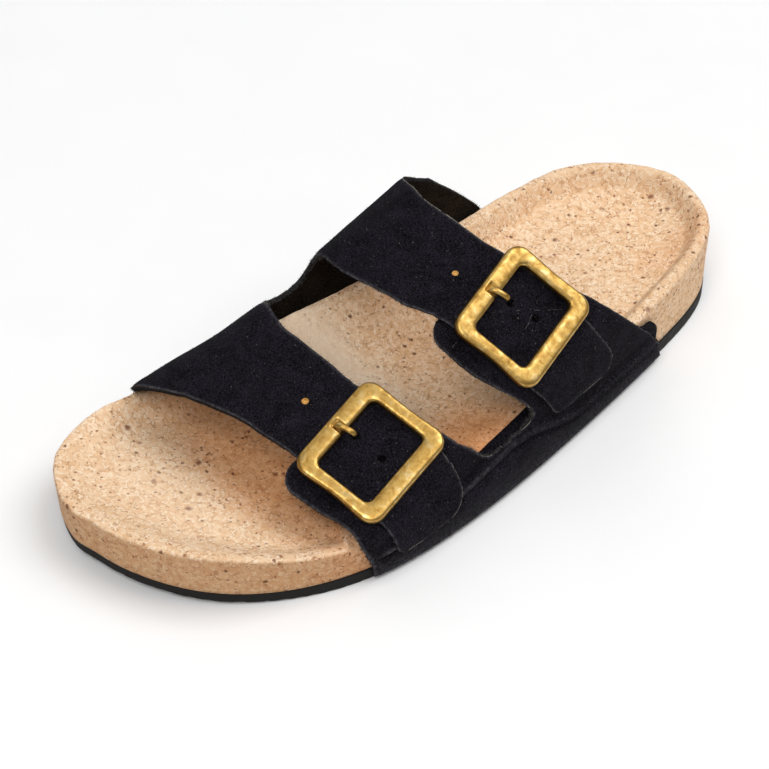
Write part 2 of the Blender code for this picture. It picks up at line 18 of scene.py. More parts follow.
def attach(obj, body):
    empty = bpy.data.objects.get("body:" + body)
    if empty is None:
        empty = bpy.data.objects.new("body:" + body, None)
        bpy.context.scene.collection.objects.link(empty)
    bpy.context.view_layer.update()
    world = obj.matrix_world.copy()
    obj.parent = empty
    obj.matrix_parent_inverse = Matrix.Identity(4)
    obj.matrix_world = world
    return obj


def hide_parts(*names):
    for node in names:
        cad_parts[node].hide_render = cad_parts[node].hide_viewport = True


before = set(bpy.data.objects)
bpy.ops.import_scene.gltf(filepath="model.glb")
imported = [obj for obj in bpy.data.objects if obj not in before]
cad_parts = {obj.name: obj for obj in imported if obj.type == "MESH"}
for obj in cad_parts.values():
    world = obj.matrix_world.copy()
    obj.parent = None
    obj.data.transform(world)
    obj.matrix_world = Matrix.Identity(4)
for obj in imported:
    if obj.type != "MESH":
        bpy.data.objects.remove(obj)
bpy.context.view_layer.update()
MM = 0.001
BODY = "root"
print("plain nodes:", sorted(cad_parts))

# %% [markdown]
# ## The sizes of the sandal
# A shoe is drawn from its last: an outline of the sole, the heights of the footbed along its length, and a
# row of cross sections over the foot. They could be traced as long lists of points, but short tables with
# a smooth curve through them are easier to read and to change. The plain solids have nearly the same ones.
# Each table stands where it is first needed, and the sole comes first.

# %% Sizes of the sole
CENTRE = np.array([2.45, -1.0, 0.0])
SOLE_LENGTH = 255.0
HEEL_X, TOE_X = -1.7, -14.5
SOLE_AT_HEEL, SOLE_AT_TOE = 6.2, 4.2
TOE_SPRING, TOE_SPRING_START = 3.0, 0.80
# station from heel 0 to toe 1, outer side x, inner side x
OUTLINE = (
    (0.030, 20.5, -20.1), (0.090, 31.4, -32.6), (0.180, 37.6, -36.6), (0.300, 43.2, -35.4),
    (0.420, 47.9, -33.8), (0.540, 51.6, -35.8), (0.650, 53.0, -41.9), (0.750, 51.0, -47.8),
    (0.840, 43.5, -50.0), (0.910, 32.2, -47.0), (0.965, 15.4, -38.6),
)
SPINE_FROM, SPINE_TO = 0.17, 0.82
print("sole", SOLE_LENGTH, "mm long, its sides given at", len(OUTLINE), "stations")

# %% [markdown]
# ## Curves and outlines
# A smooth curve through a table's points needs a slope at each point; here it is the weighted mean of the
# slopes on both sides, which keeps the curve from swinging out between the points.

# %% Smooth curves


def column(table, index):
    """One column of a table."""
    return np.array([row[index] for row in table], float)


def curve(xs, ys, at):
    """Smooth curve through points, straight beyond the ends."""
    at = np.asarray(at, float)
    step = np.diff(xs)
    slope = np.diff(ys) / step
    tangent = np.empty_like(ys)
    tangent[1:-1] = (slope[:-1] * step[1:] + slope[1:] * step[:-1]) / (step[:-1] + step[1:])
    tangent[0], tangent[-1] = slope[0], slope[-1]
    i = np.clip(np.searchsorted(xs, at, side="right") - 1, 0, len(step) - 1)
    u = (at - xs[i]) / step[i]
    v = np.clip(u, 0.0, 1.0)
    a = ys[i] * (1 - v) ** 2 * (1 + 2 * v) + ys[i + 1] * v ** 2 * (3 - 2 * v)
    b = tangent[i] * v * (1 - v) ** 2 - tangent[i + 1] * v ** 2 * (1 - v)
    return a + (b + (u - v) * np.where(u < 0, tangent[i], tangent[i + 1])) * step[i]


def from_table(table, index, at):
    """Smooth value of one column along the table's first column."""
    return curve(column(table, 0), column(table, index), at)


def smooth(u):
    """Soft step from 0 to 1."""
    u = np.clip(u, 0.0, 1.0)
    return u * u * (3 - 2 * u)


print("outer side at half length:", round(float(from_table(OUTLINE, 1, 0.5)), 1), "mm")

# %% [markdown]
# The outline of the sole runs from the heel along the outer side to the toe, and back along the inner side.
# A Bezier curve drawn by hand would do, but with a closed cubic curve through measured points the two sides
# follow as functions of y.

# %% The outline of the sole
LOOP_POINTS = 720


def closed_spline(points, count, span=60):
    """Even samples of a periodic cubic curve through points."""
    pts = np.asarray(points, float)
    n = len(pts)
    chord = np.sqrt(np.linalg.norm(np.roll(pts, -1, 0) - pts, axis=1))
    matrix, right = np.zeros((n, n)), np.zeros((n, 2))
    for k in range(n):
        before, after, nxt = chord[k - 1], chord[k], (k + 1) % n
        matrix[k, k - 1] += before / 6
        matrix[k, k] += (before + after) / 3
        matrix[k, nxt] += after / 6
        right[k] = (pts[nxt] - pts[k]) / after - (pts[k] - pts[k - 1]) / before
    bend = np.linalg.solve(matrix, right)
    dense = []
    for k in range(n):
        nxt = (k + 1) % n
        for u in np.linspace(0.0, 1.0, span, endpoint=False):
            a = 1 - u
            arch = (a ** 3 - a) * bend[k] + (u ** 3 - u) * bend[nxt]
            dense.append(a * pts[k] + u * pts[nxt] + chord[k] ** 2 / 6 * arch)
    loop = np.vstack([dense, dense[:1]])
    run = np.r_[0.0, np.cumsum(np.linalg.norm(np.diff(loop, axis=0), axis=1))]
    want = np.linspace(0.0, run[-1], count, endpoint=False)
    return np.c_[np.interp(want, run, loop[:, 0]), np.interp(want, run, loop[:, 1])]


def sole_outline(count):
    """From the heel along the outer side to the toe and back."""
    pts = [(HEEL_X, SOLE_LENGTH / 2)]
    pts += [(outer, (0.5 - s) * SOLE_LENGTH) for s, outer, inner in OUTLINE]
    pts += [(TOE_X, -SOLE_LENGTH / 2)]
    pts += [(inner, (0.5 - s) * SOLE_LENGTH) for s, outer, inner in reversed(OUTLINE)]
    return closed_spline(pts, count)


LOOP = sole_outline(LOOP_POINTS)
TOE_INDEX = int(np.argmin(LOOP[:, 1]))


def station(y):
    """Place along the sole, 0 at the heel and 1 at the toe."""
    return 0.5 - np.asarray(y, float) / SOLE_LENGTH


def outer_x(y):
    """Outer side of the outline at y."""
    side = LOOP[:TOE_INDEX + 1]
    return np.interp(-np.asarray(y, float), -side[:, 1], side[:, 0])


def inner_x(y):
    """Inner side of the outline at y."""
    side = LOOP[TOE_INDEX:][::-1]
    return np.interp(-np.asarray(y, float), -side[:, 1], side[:, 0])


print("outline", len(LOOP), "points, widest", round(float(np.ptp(LOOP[:, 0])), 1), "mm")

# %% [markdown]
# The sole is thinner at the toe and turns up there. Rings inside the outline come from moving it in along its
# normals, and then towards the middle line of the foot, so that they never cross.

# %% Heights and rings of the sole


def sole_bottom(y):
    """Ground side of the outsole, with toe spring."""
    lift = np.clip((station(y) - TOE_SPRING_START) / (1 - TOE_SPRING_START), 0.0, 1.0)
    return TOE_SPRING * lift ** 2


def sole_top(y):
    """Upper face of the outsole."""
    return sole_bottom(y) + SOLE_AT_HEEL + (SOLE_AT_TOE - SOLE_AT_HEEL) * station(y)


def inward(loop):
    """Unit normals of a closed outline, pointing in."""
    along = np.roll(loop, -1, 0) - np.roll(loop, 1, 0)
    along /= np.linalg.norm(along, axis=1)[:, None]
    normal = np.c_[along[:, 1], -along[:, 0]]
    return normal if np.sum((loop.mean(0) - loop) * normal) > 0 else -normal


def plan_ring(loop, normal, inset, inner=0.0):
    """Outline moved in by inset, then a share of the way to the spine of the foot."""
    edge = loop + normal * np.broadcast_to(inset, len(loop))[:, None]
    s = np.clip(station(edge[:, 1]), SPINE_FROM, SPINE_TO)
    yy = (0.5 - s) * SOLE_LENGTH
    goal = np.c_[(outer_x(yy) + inner_x(yy)) / 2, yy]
    return edge + (goal - edge) * inner


print("sole at the toe starts", round(float(sole_bottom(-SOLE_LENGTH / 2)), 1), "mm above the floor")

# %% [markdown]
# ## Helpers for meshes
# Every piece ends as a plain mesh at the origin, with its place in its points. Turning sizes into metres
# in one helper keeps the rest of the lesson in millimetres. Cork, sole, frames and prongs are stacks of
# rings with equal numbers of points, so one rule can join any such stack with faces.

# %% Mesh helpers


def new_piece(name, verts, faces, edges=()):
    """Mesh object from millimetre points."""
    mesh = bpy.data.meshes.new(name)
    placed = (np.asarray(verts, float) - CENTRE) * MM
    mesh.from_pydata([tuple(v) for v in placed], list(edges), [tuple(map(int, f)) for f in faces])
    mesh.polygons.foreach_set("use_smooth", [True] * len(mesh.polygons))
    obj = bpy.data.objects.new(name, mesh)
    bpy.context.scene.collection.objects.link(obj)
    return obj


def recalc_normals(obj):
    """Point all faces of a closed piece outwards."""
    bm = bmesh.new()
    bm.from_mesh(obj.data)
    bmesh.ops.recalc_face_normals(bm, faces=bm.faces)
    bm.to_mesh(obj.data)
    bm.free()


def zip_faces(start, count):
    """Close a long ring with a row of quads from one of its sides to the other."""
    half, end = start + count // 2, start + count
    quads = [(start + i, start + i + 1, end - i - 1, end - i) for i in range(1, count // 2 - 1)]
    return quads + [(start, start + 1, end - 1), (half - 1, half, half + 1)]


def ring_faces(rings, count, closed=False):
    """Quads between rings of equal count; the two ends are zipped unless the rings close."""
    i = np.arange(count)
    j = (i + 1) % count
    faces = []
    for r in range(rings if closed else rings - 1):
        a, b = r * count, ((r + 1) % rings) * count
        faces += list(np.c_[a + i, a + j, b + j, b + i])
    if not closed:
        faces += zip_faces(0, count) + zip_faces((rings - 1) * count, count)
    return faces


print("two rings of 8 points, closed at both ends, have", len(ring_faces(2, 8)), "faces")

# %% [markdown]
# ## The cork footbed
# The footbed is moulded from cork crumbs in latex: an upright wall, a rounded lip, a heel cup, an arch and
# a toe ridge. It could be sculpted, but a stack of rings, each moved in from the outline of the sole by
# a known distance, gives the true lip all round and keeps the height at any place exact.

# %% Sizes of the footbed
# station, rim height outer and inner, bed height, width of the slope inside the rim outer and inner
FOOTBED = (
    (0.00, 31.0, 31.0, 21.0, 17.0, 17.0), (0.20, 27.4, 29.8, 20.4, 17.0, 19.0),
    (0.35, 23.0, 30.6, 19.6, 16.0, 28.0), (0.50, 20.0, 30.4, 17.6, 14.0, 30.0),
    (0.60, 18.2, 28.0, 15.2, 13.0, 26.0), (0.70, 15.8, 23.4, 13.0, 12.0, 18.0),
    (0.82, 16.8, 20.0, 12.4, 11.0, 12.0), (0.91, 21.0, 19.8, 15.4, 16.0, 15.0),
    (1.00, 22.0, 21.2, 18.6, 14.0, 14.0),
)
RIM_WRAPPED, CORK_INSET = 7.0, 0.2
FLARE_OUTER, FLARE_INNER, FLARE_FROM, FLARE_FADE = 0.8, 0.6, 0.78, 0.12
TOE_OUT = 1.7
# y where the suede begins to wrap the cork, wraps it fully, still wraps it fully and leaves it
OUTER_WRAP, INNER_WRAP = (-75.0, -71.0, 50.0, 59.0), (-92.0, -82.0, 81.0, 91.0)
INSET_LIMIT, CORE, SEAT = 18.0, 0.92, 0.3
print("footbed given at", len(FOOTBED), "stations, its rim up to", max(column(FOOTBED, 1)), "mm high")

# %% Rim, lip and bed
AROUND, LEAST_HALF = 500, 6.0
# station, flat lip, width of the steep part of the slope, its share of the whole drop
LIP_FORM = ((0.0, 1.0, 5.5, 0.50), (0.15, 1.6, 5.5, 0.66), (0.28, 2.0, 5.5, 0.80), (0.38, 1.4, 7.0, 0.55),
            (0.50, 0.8, 9.0, 0.25), (0.80, 0.2, 9.0, 0.12), (1.0, 0.2, 9.0, 0.12))


def wrap_share(y, zone):
    """1 where the suede wraps the side of the cork, 0 at the bare toe and heel."""
    begins, full, still, leaves = zone
    return smooth((y - begins) / (full - begins)) * smooth((leaves - y) / (leaves - still))


def ring_frame():
    """Outline samples, their inward normals and 1 on the outer side, 0 on the inner."""
    loop = sole_outline(AROUND)
    y = loop[:, 1]
    half = np.maximum((outer_x(y) - inner_x(y)) / 2, LEAST_HALF)
    share = smooth(0.5 + 0.5 * (loop[:, 0] - (outer_x(y) + inner_x(y)) / 2) / half)
    return loop, inward(loop), share


def wrapped_share(y, share):
    """Wrap of the suede on the side a place belongs to."""
    return np.where(share > 0.5, wrap_share(y, OUTER_WRAP), wrap_share(y, INNER_WRAP))


def toe_share(y):
    """0 behind the ball of the foot, 1 at the toe."""
    return smooth((station(y) - FLARE_FROM) / FLARE_FADE)


def toe_out(y, share):
    """How far the bare inner side of the toe stands out from the outline."""
    return TOE_OUT * (1 - share) * toe_share(y) * (1 - wrapped_share(y, share))


def bed_values(y, share):
    """Rim height, bed height and width of the slope between them."""
    col = [from_table(FOOTBED, k, station(y)) for k in range(1, 6)]
    return share * col[0] + (1 - share) * col[1], col[2], share * col[3] + (1 - share) * col[4]


def bed_height(y, share, inside):
    """Height of the bed at a distance inside its rim: flat lip, steep part, then a gentle dish."""
    rim, bed, width = bed_values(y, share)
    lip, steep, part = [from_table(LIP_FORM, k, station(y)) for k in (1, 2, 3)]
    past = np.maximum(inside - lip, 0.0)
    dish = 0.5 * (1 - np.cos(math.pi * np.clip(past / width, 0.0, 1.0)))
    return rim + (bed - rim) * (part * smooth(past / steep) + (1 - part) * dish)


print("bed at the heel, 20 mm inside its rim:", round(float(bed_height(100.0, 1.0, 20.0)), 1), "mm high")

# %% [markdown]
# The rings start under the cork, go up the wall, over the lip and down into the bed. Two shares are kept
# for each ring, how much of a lip and how much of a wall it is, because the finish differs there: the wall
# is given a painted shade.

# %% Footbed
TOE_EDGE, HEEL_EDGE, EDGE_CHANGE = 1.0, 1.7, 1.6
WALL_RINGS, LIP_RINGS, SLOPE_RINGS, BED_RINGS = 10, 11, 24, 20
LIP_FADE = 4.0


def make_footbed():
    """Rings from the underside up the wall, over the lip and down into the bed."""
    loop, normal, share = ring_frame()
    y = loop[:, 1]
    wrapped = wrapped_share(y, share)
    wall = loop + normal * (CORK_INSET - toe_out(y, share))[:, None]
    flare = FLARE_INNER + (FLARE_OUTER - FLARE_INNER) * share
    flare = flare * toe_share(y) * (1 - wrapped)
    edge = HEEL_EDGE + (TOE_EDGE - HEEL_EDGE) * smooth(station(y) * EDGE_CHANGE)
    radius = edge + (RIM_WRAPPED - edge) * wrapped * (share > 0.5)
    rings, lips, walls = [], [], []
    for deep, inner in ((INSET_LIMIT, CORE), (INSET_LIMIT, 0.0), (0.0, 0.0)):
        plan = plan_ring(wall, normal, deep, inner)
        rings.append(np.c_[plan, sole_top(plan[:, 1]) + SEAT])
        lips.append(np.zeros(AROUND))
        walls.append(1.0)
    rim = bed_values(y, share)[0]
    brim = wall - normal * flare[:, None]
    foot, top = rings[-1], np.c_[brim, rim - radius]
    for u in np.linspace(0.1, 0.95, WALL_RINGS):
        rings.append(foot + (top - foot) * u)
        lips.append(np.full(AROUND, u ** 6 * 0.5))
        walls.append(1.0)
    for a in np.radians(np.linspace(0.0, 90.0, LIP_RINGS)):
        plan = brim + normal * (radius * (1 - math.cos(a)))[:, None]
        rings.append(np.c_[plan, rim - radius * (1 - math.sin(a))])
        lips.append(np.full(AROUND, 0.6 + 0.4 * math.sin(a)))
        walls.append(1 - math.sin(a))
    ways = [(deep, 0.0) for deep in np.linspace(0.5, INSET_LIMIT - RIM_WRAPPED, SLOPE_RINGS)]
    ways += [(INSET_LIMIT - RIM_WRAPPED, inner) for inner in np.linspace(0.04, CORE, BED_RINGS)]
    for deep, inner in ways:
        plan = plan_ring(brim, normal, radius + deep, inner)
        inside = np.linalg.norm(plan - brim, axis=1) - radius
        rings.append(np.c_[plan, bed_height(plan[:, 1], share, inside)])
        lips.append(np.full(AROUND, max(0.0, 1 - deep / LIP_FADE)))
        walls.append(0.0)
    piece = new_piece("footbed_cork", np.vstack(rings), ring_faces(len(rings), AROUND))
    recalc_normals(piece)
    return piece, np.concatenate(lips), np.repeat(walls, AROUND)


footbed, lip_share, wall_share = make_footbed()
print("footbed:", len(footbed.data.vertices), "points")

# %% [markdown]
# Cork is never quite even: the mould leaves soft waves, and crumbs stand out or drop away along the lip.
# A displacement texture would do this for the picture alone; moving the points keeps it in the mesh.

# %% Uneven cork
CORK_WAVE, CORK_WAVE_DEPTH = 14.0, 0.22
CORK_CRUMB, CORK_CRUMB_DEPTH, CRUMB_SHARE, CRUMB_ON_LIP = 2.4, 0.16, 0.45, 0.9
EVEN_BELOW, EVEN_FADE = 9.0, 3.0


def set_values(obj, name, values):
    """Store one number per point for a material to read."""
    layer = obj.data.attributes.new(name, "FLOAT", "POINT")
    layer.data.foreach_set("value", np.asarray(values, np.float32))


def rough(points, size, depth, seed=0.0):
    """Soft random heights at points: bumps of about that size and depth."""
    shift = Vector((seed, seed * 1.7, -seed))
    return np.array([noise.noise(Vector(p) / size + shift) for p in points]) * depth


def roughen(obj, heights):
    """Move each point along its normal by a height in millimetres."""
    co = np.empty(len(obj.data.vertices) * 3)
    no = np.empty(len(obj.data.vertices) * 3)
    obj.data.vertices.foreach_get("co", co)
    obj.data.vertex_normals.foreach_get("vector", no)
    obj.data.vertices.foreach_set("co", co + no * np.repeat(heights, 3) * MM)
    obj.data.update()


def points_mm(obj):
    """The points of a piece in millimetres, in the frame of the object."""
    co = np.empty(len(obj.data.vertices) * 3)
    obj.data.vertices.foreach_get("co", co)
    return co.reshape(-1, 3) / MM


cork_points = points_mm(footbed)
above = np.clip((cork_points[:, 2] - EVEN_BELOW) / EVEN_FADE, 0.0, 1.0)
wave = rough(cork_points, CORK_WAVE, CORK_WAVE_DEPTH)
crumb = rough(cork_points, CORK_CRUMB, CORK_CRUMB_DEPTH, 3.0) * (CRUMB_SHARE + CRUMB_ON_LIP * lip_share)
roughen(footbed, (wave + crumb) * above)
print("cork moved by up to", round(float(np.abs(wave + crumb).max()), 2), "mm")

# %% [markdown]
# The cork's own colour is mottled, and shares stored with its points add more. Painted shade makes it browner
# under the straps, low in the gap by the notch and on the heel's slope, and darker on the wall, most towards
# the toe; painted light makes it paler in the open gap and on the toe bed. It is really greyer where the
# quarter rubs it. A painted image would need an unwrapped mesh; shares stored with the points, from soft
# ovals seen from above, need none.

# %% Places on the cork
WALL_SHADE_AT_HEEL, WALL_SHADE_FROM, WALL_SHADE_FADE = 0.3, 0.4, 0.3
# x, y, half sizes and strength of places of painted shade (browner) and of painted light (paler)
PAINTED_SHADE_PLACES = ((0.0, -64.0, 52.0, 20.0, 0.9), (-8.0, 8.0, 48.0, 18.0, 0.3), (41.0, -14.0, 23.0, 25.0, 1.0),
               (18.0, 104.0, 9.0, 18.0, 0.3))
PAINTED_LIGHT_PLACES = ((-14.0, -26.0, 36.0, 14.0, 1.0), (-12.0, -100.0, 34.0, 14.0, 0.2))
# a grey rub on the outer lip, just behind the quarter
GREY_RUB, GREY_RUB_SIZE = (44.75, 65.5, 26.5), (1.6, 3.0, 2.5)


def place_share(points, spots):
    """Soft spots on the cork, seen from above."""
    share = np.zeros(len(points))
    for x, y, half_x, half_y, most in spots:
        away = ((points[:, 0] - x) / half_x) ** 2 + ((points[:, 1] - y) / half_y) ** 2
        share = np.maximum(share, most * np.exp(-away ** 2))
    return share


# painted shade: browner cork under the straps, low in the gap by the notch and on the heel's slope
set_values(footbed, "warm", place_share(cork_points, PAINTED_SHADE_PLACES))
# painted light: paler cork in the open gap and on the toe bed, where the straps shade it
set_values(footbed, "pale", place_share(cork_points, PAINTED_LIGHT_PLACES))
rub_away = np.linalg.norm((cork_points - GREY_RUB) / GREY_RUB_SIZE, axis=1)
set_values(footbed, "grey", np.exp(-rub_away ** 2))
set_values(footbed, "lip", lip_share)
# painted shade on the wall: part of it at the heel, all of it towards the toe
forward = smooth((station(cork_points[:, 1]) - WALL_SHADE_FROM) / WALL_SHADE_FADE)
set_values(footbed, "wall", wall_share * (WALL_SHADE_AT_HEEL + (1 - WALL_SHADE_AT_HEEL) * forward))
print("shares on the cork:", [layer.name for layer in footbed.data.attributes if layer.data_type == "FLOAT"])

# %% [markdown]
# ## The outsole
# A thin sheet sole, cut flush with the cork and turned up at the toe. Its underside has shallow cross ribs
# for grip. The same rings make it; the ribs are a rule of the place along the sole, so they are put into
# the heights of the underside and nick the lower edge as real ones do.

# %% Outsole
SOLE_CHAMFER, RIB_PITCH, RIB_DEPTH, RIB_WAVE, RIB_WAVE_LENGTH = 0.8, 5.2, 0.55, 1.6, 21.0
RIB_LEVEL, RIB_FADE, NICK_SHARE = 0.35, 0.45, 0.8
TOE_TUCK, MIDDLE_RINGS, MARGIN_RINGS = 0.7, 24, 22


def rib_groove(x, y):
    """Depth of the grooves between the ribs of the underside."""
    phase = (y + RIB_WAVE * np.sin(2 * math.pi * x / RIB_WAVE_LENGTH)) / RIB_PITCH
    return RIB_DEPTH * smooth((np.cos(2 * math.pi * phase) - RIB_LEVEL) / RIB_FADE)


def make_outsole():
    """Underside with ribs, rounded lower edge, upright side and plain top."""
    loop, normal, share = ring_frame()
    tuck = TOE_TUCK * toe_share(loop[:, 1])
    loop = loop + normal * (tuck - toe_out(loop[:, 1], share))[:, None]
    rings = []
    ways = [(INSET_LIMIT, inner) for inner in np.linspace(CORE, 0.04, MIDDLE_RINGS)]
    ways += [(deep, 0.0) for deep in np.linspace(INSET_LIMIT, SOLE_CHAMFER, MARGIN_RINGS)]
    for deep, inner in ways:
        plan = plan_ring(loop, normal, deep, inner)
        rings.append(np.c_[plan, sole_bottom(plan[:, 1]) + rib_groove(plan[:, 0], plan[:, 1])])
    nick = rib_groove(loop[:, 0], loop[:, 1])
    for a in np.radians((30.0, 60.0, 90.0)):
        plan = plan_ring(loop, normal, SOLE_CHAMFER * (1 - math.sin(a)))
        base = sole_bottom(plan[:, 1]) + SOLE_CHAMFER * (1 - math.cos(a))
        rings.append(np.c_[plan, base + nick * NICK_SHARE * math.cos(a)])
    low, high = rings[-1][:, 2], sole_top(loop[:, 1])
    for u in (0.2, 0.4, 0.6, 0.8, 0.94):
        rings.append(np.c_[loop, low + (high - low) * u])
    for deep, inner in ((0.25, 0.0), (6.0, 0.0), (INSET_LIMIT, 0.0), (INSET_LIMIT, CORE)):
        plan = plan_ring(loop, normal, deep, inner)
        rings.append(np.c_[plan, sole_top(plan[:, 1])])
    piece = new_piece("outsole_rubber", np.vstack(rings), ring_faces(len(rings), AROUND))
    recalc_normals(piece)
    return piece


outsole = make_outsole()
print("outsole:", len(outsole.data.vertices), "points, ribs every", RIB_PITCH, "mm")

# %% [markdown]
# ## The skin of the upper
# The straps lie on the last like a skin. At each place along the foot a cross section runs through thirteen
# named nodes, from the inner edge of the sole over the instep to the outer edge. A place on the skin is
# then two numbers: the girth place, counted in nodes, and y along the foot.

# %% Sizes of the cross sections
# y, inner wall x z, crown x z, z at ridge, tab and middle lines, knuckle x z, outer side x z, fold z
SECTIONS = (
    (-88.0, -52.6, 17.0, -22.0, 35.4, 34.2, 26.0, 20.2, 40.0, 17.0, 43.2, 12.0, 8.0),
    (-72.0, -51.8, 20.0, -22.0, 37.8, 36.2, 30.4, 25.4, 45.6, 20.8, 50.0, 14.0, 8.6),
    (-52.0, -49.0, 25.0, -20.0, 41.0, 39.0, 36.4, 31.2, 48.8, 25.6, 53.0, 17.6, 11.0),
    (-34.0, -45.6, 31.0, -18.0, 47.8, 46.6, 42.0, 36.8, 48.6, 30.0, 52.0, 20.5, 14.0),
    (-14.0, -42.6, 37.0, -15.0, 60.0, 59.0, 53.2, 44.4, 47.0, 34.5, 49.4, 22.5, 15.6),
    (10.0, -41.0, 45.0, -13.0, 66.6, 64.0, 58.0, 49.0, 47.2, 40.8, 50.2, 27.5, 15.5),
    (32.0, -39.8, 51.0, -12.0, 72.4, 68.8, 62.2, 53.2, 45.6, 44.0, 48.4, 29.5, 15.5),
    (75.0, -39.0, 54.0, -12.0, 76.0, 72.6, 66.0, 55.0, 41.8, 41.0, 41.4, 28.0, 14.5),
)
RIDGE_X, TAB_X, MIDDLE_X, FOLD_OUT, PANEL_FOOT = 8.0, 22.0, 36.0, 0.3, 2.5
SHOULDER_ANGLES = (32.0, 62.0)
WALL, LAP, LAP_BEFORE, LAP_LENGTH, TAB_TOP = 2.2, 1.7, 0.75, 0.70, 6.85
print("cross sections:", len(SECTIONS))

# %% Skin


def section_nodes(y):
    """Girth nodes of the cross sections at each y."""
    col = [from_table(SECTIONS, k, y) for k in range(1, 13)]
    wall_x, wall_z, crown_x, crown_z, ridge_z, tab_z, mid_z, kn_x, kn_z, side_x, side_z, fold_z = col
    foot_z = sole_bottom(y) + PANEL_FOOT
    inner = inner_x(y) - WALL - SEAT
    outer = outer_x(y) + WALL + SEAT
    pts = [(inner, foot_z), ((inner + wall_x) / 2, (foot_z + wall_z) / 2), (wall_x, wall_z)]
    for a in np.radians(SHOULDER_ANGLES):
        shoulder_x = wall_x + (crown_x - wall_x) * (1 - math.cos(a))
        pts.append((shoulder_x, wall_z + (crown_z - wall_z) * math.sin(a)))
    flat = np.ones_like(wall_x)
    pts += [(crown_x, crown_z), (RIDGE_X * flat, ridge_z), (TAB_X * flat, tab_z), (MIDDLE_X * flat, mid_z)]
    pts += [(kn_x, kn_z), (side_x, side_z), (outer + FOLD_OUT, fold_z), (outer, foot_z)]
    return np.stack([np.stack(p, -1) for p in pts], 1)


def skin(girth, y, lift=0.0):
    """Points of the upper's outer face, raised by lift along the section's normal."""
    girth, y = np.asarray(girth, float), np.asarray(y, float)
    nodes = section_nodes(y)
    row = np.arange(len(y))
    step = np.linalg.norm(np.diff(nodes, axis=1), axis=2)[..., None]
    slope = np.diff(nodes, axis=1) / step
    tangent = np.empty_like(nodes)
    before, after = step[:, :-1], step[:, 1:]
    tangent[:, 1:-1] = (slope[:, :-1] * after + slope[:, 1:] * before) / (before + after)
    tangent[:, 0], tangent[:, -1] = slope[:, 0], slope[:, -1]
    k = np.clip(np.floor(girth).astype(int), 0, nodes.shape[1] - 2)
    u = (girth - k)[:, None]
    a, b, h = nodes[row, k], nodes[row, k + 1], step[row, k]
    ta, tb = tangent[row, k] * h, tangent[row, k + 1] * h
    p = a * (1 - u) ** 2 * (1 + 2 * u) + b * u ** 2 * (3 - 2 * u)
    p = p + ta * u * (1 - u) ** 2 - tb * u ** 2 * (1 - u)
    d = (b - a) * 6 * u * (1 - u) + ta * (1 - u) * (1 - 3 * u) - tb * u * (2 - 3 * u)
    d /= np.linalg.norm(d, axis=1)[:, None]
    return np.c_[p[:, 0] - d[:, 1] * lift, y, p[:, 1] + d[:, 0] * lift]


def girth_run(y):
    """Running length at each node of the section at one y."""
    nodes = section_nodes(np.array([float(y)]))[0]
    return np.r_[0.0, np.cumsum(np.linalg.norm(np.diff(nodes, axis=0), axis=1))]


def girth_length(y, low, high):
    """Length of the section at y between two girth places."""
    run = girth_run(y)
    return float(np.interp(high, np.arange(len(run)), run) - np.interp(low, np.arange(len(run)), run))


def lap_lift(girth):
    """Straps climb onto their tabs just before the tab begins."""
    return LAP * smooth((np.asarray(girth, float) - TAB_TOP + LAP_BEFORE) / LAP_LENGTH)


print("girth of the instep:", round(girth_length(0.0, 0.0, 12.0), 1), "mm")

# %% [markdown]
# ## Straps and tabs
# The inner quarter and its two straps are one cut of suede, like a comb with two teeth; so are the outer
# quarter and its two tabs. Each comb is a sheet of rows from the sole upwards, whose edges come from
# a table, with round corners at the strap ends and in the gap. The cut edge wanders a little, as a knife
# does in soft suede. Solidify then gives the sheet its wall, and a small bevel softens the cut.

# %% Edges of straps and tabs
# girth place, y of the front strap's front and rear edge, y of the back strap's front and rear edge
STRAP_EDGES = (
    (0.0, -76.0, -31.0, -12.5, 77.0), (1.0, -77.2, -31.0, -12.5, 64.0), (2.0, -79.6, -31.0, -12.5, 40.0),
    (3.0, -84.6, -34.0, -14.5, 25.6), (4.0, -85.0, -38.0, -17.5, 19.6), (5.0, -80.0, -41.6, -19.2, 16.2),
    (6.0, -72.8, -41.4, -16.4, 17.8), (7.0, -69.8, -40.6, -10.6, 21.8), (8.0, -66.8, -37.6, -4.6, 27.4),
    (9.0, -63.6, -34.2, 1.0, 32.0), (10.0, -60.4, -31.2, 9.0, 41.0), (11.0, -59.8, -30.6, 14.0, 48.0),
    (12.0, -59.8, -30.6, 18.0, 52.0),
)
GAP_FOOT, GAP_ROUND, FRONT_TIP, REAR_TIP, TIP_ROUNDS = 1.94, 8.0, 11.05, 10.50, (3.5, 9.0)
# the same for the tabs of the outer quarter
TAB_EDGES = (
    (6.0, -79.0, -38.0, -19.5, 16.0), (7.0, -78.4, -36.0, -16.6, 22.0), (8.0, -75.0, -33.0, -12.6, 33.0),
    (9.0, -71.2, -27.5, -4.6, 43.5), (10.0, -69.6, -19.0, 4.0, 57.5), (11.0, -68.0, -17.0, 6.0, 70.5),
    (12.0, -66.8, -17.0, 6.0, 76.2),
)
NOTCH_FOOT, NOTCH_ROUND, TAB_ROUNDS = 10.30, 4.0, (7.0, 7.0)
print("edges given at", len(STRAP_EDGES), "and", len(TAB_EDGES), "girth places")

# %% Rows of a comb
EDGE_WANDER, WANDER_PACE, WANDER_APART = 0.25, 6.0, 7.3
CORNER_ROWS = 7


def corner_inset(distance, radius):
    """How far a rounded corner stands back at a distance from its end."""
    left = max(radius - distance, 0.0)
    return radius - math.sqrt(max(radius * radius - left * left, 0.0))


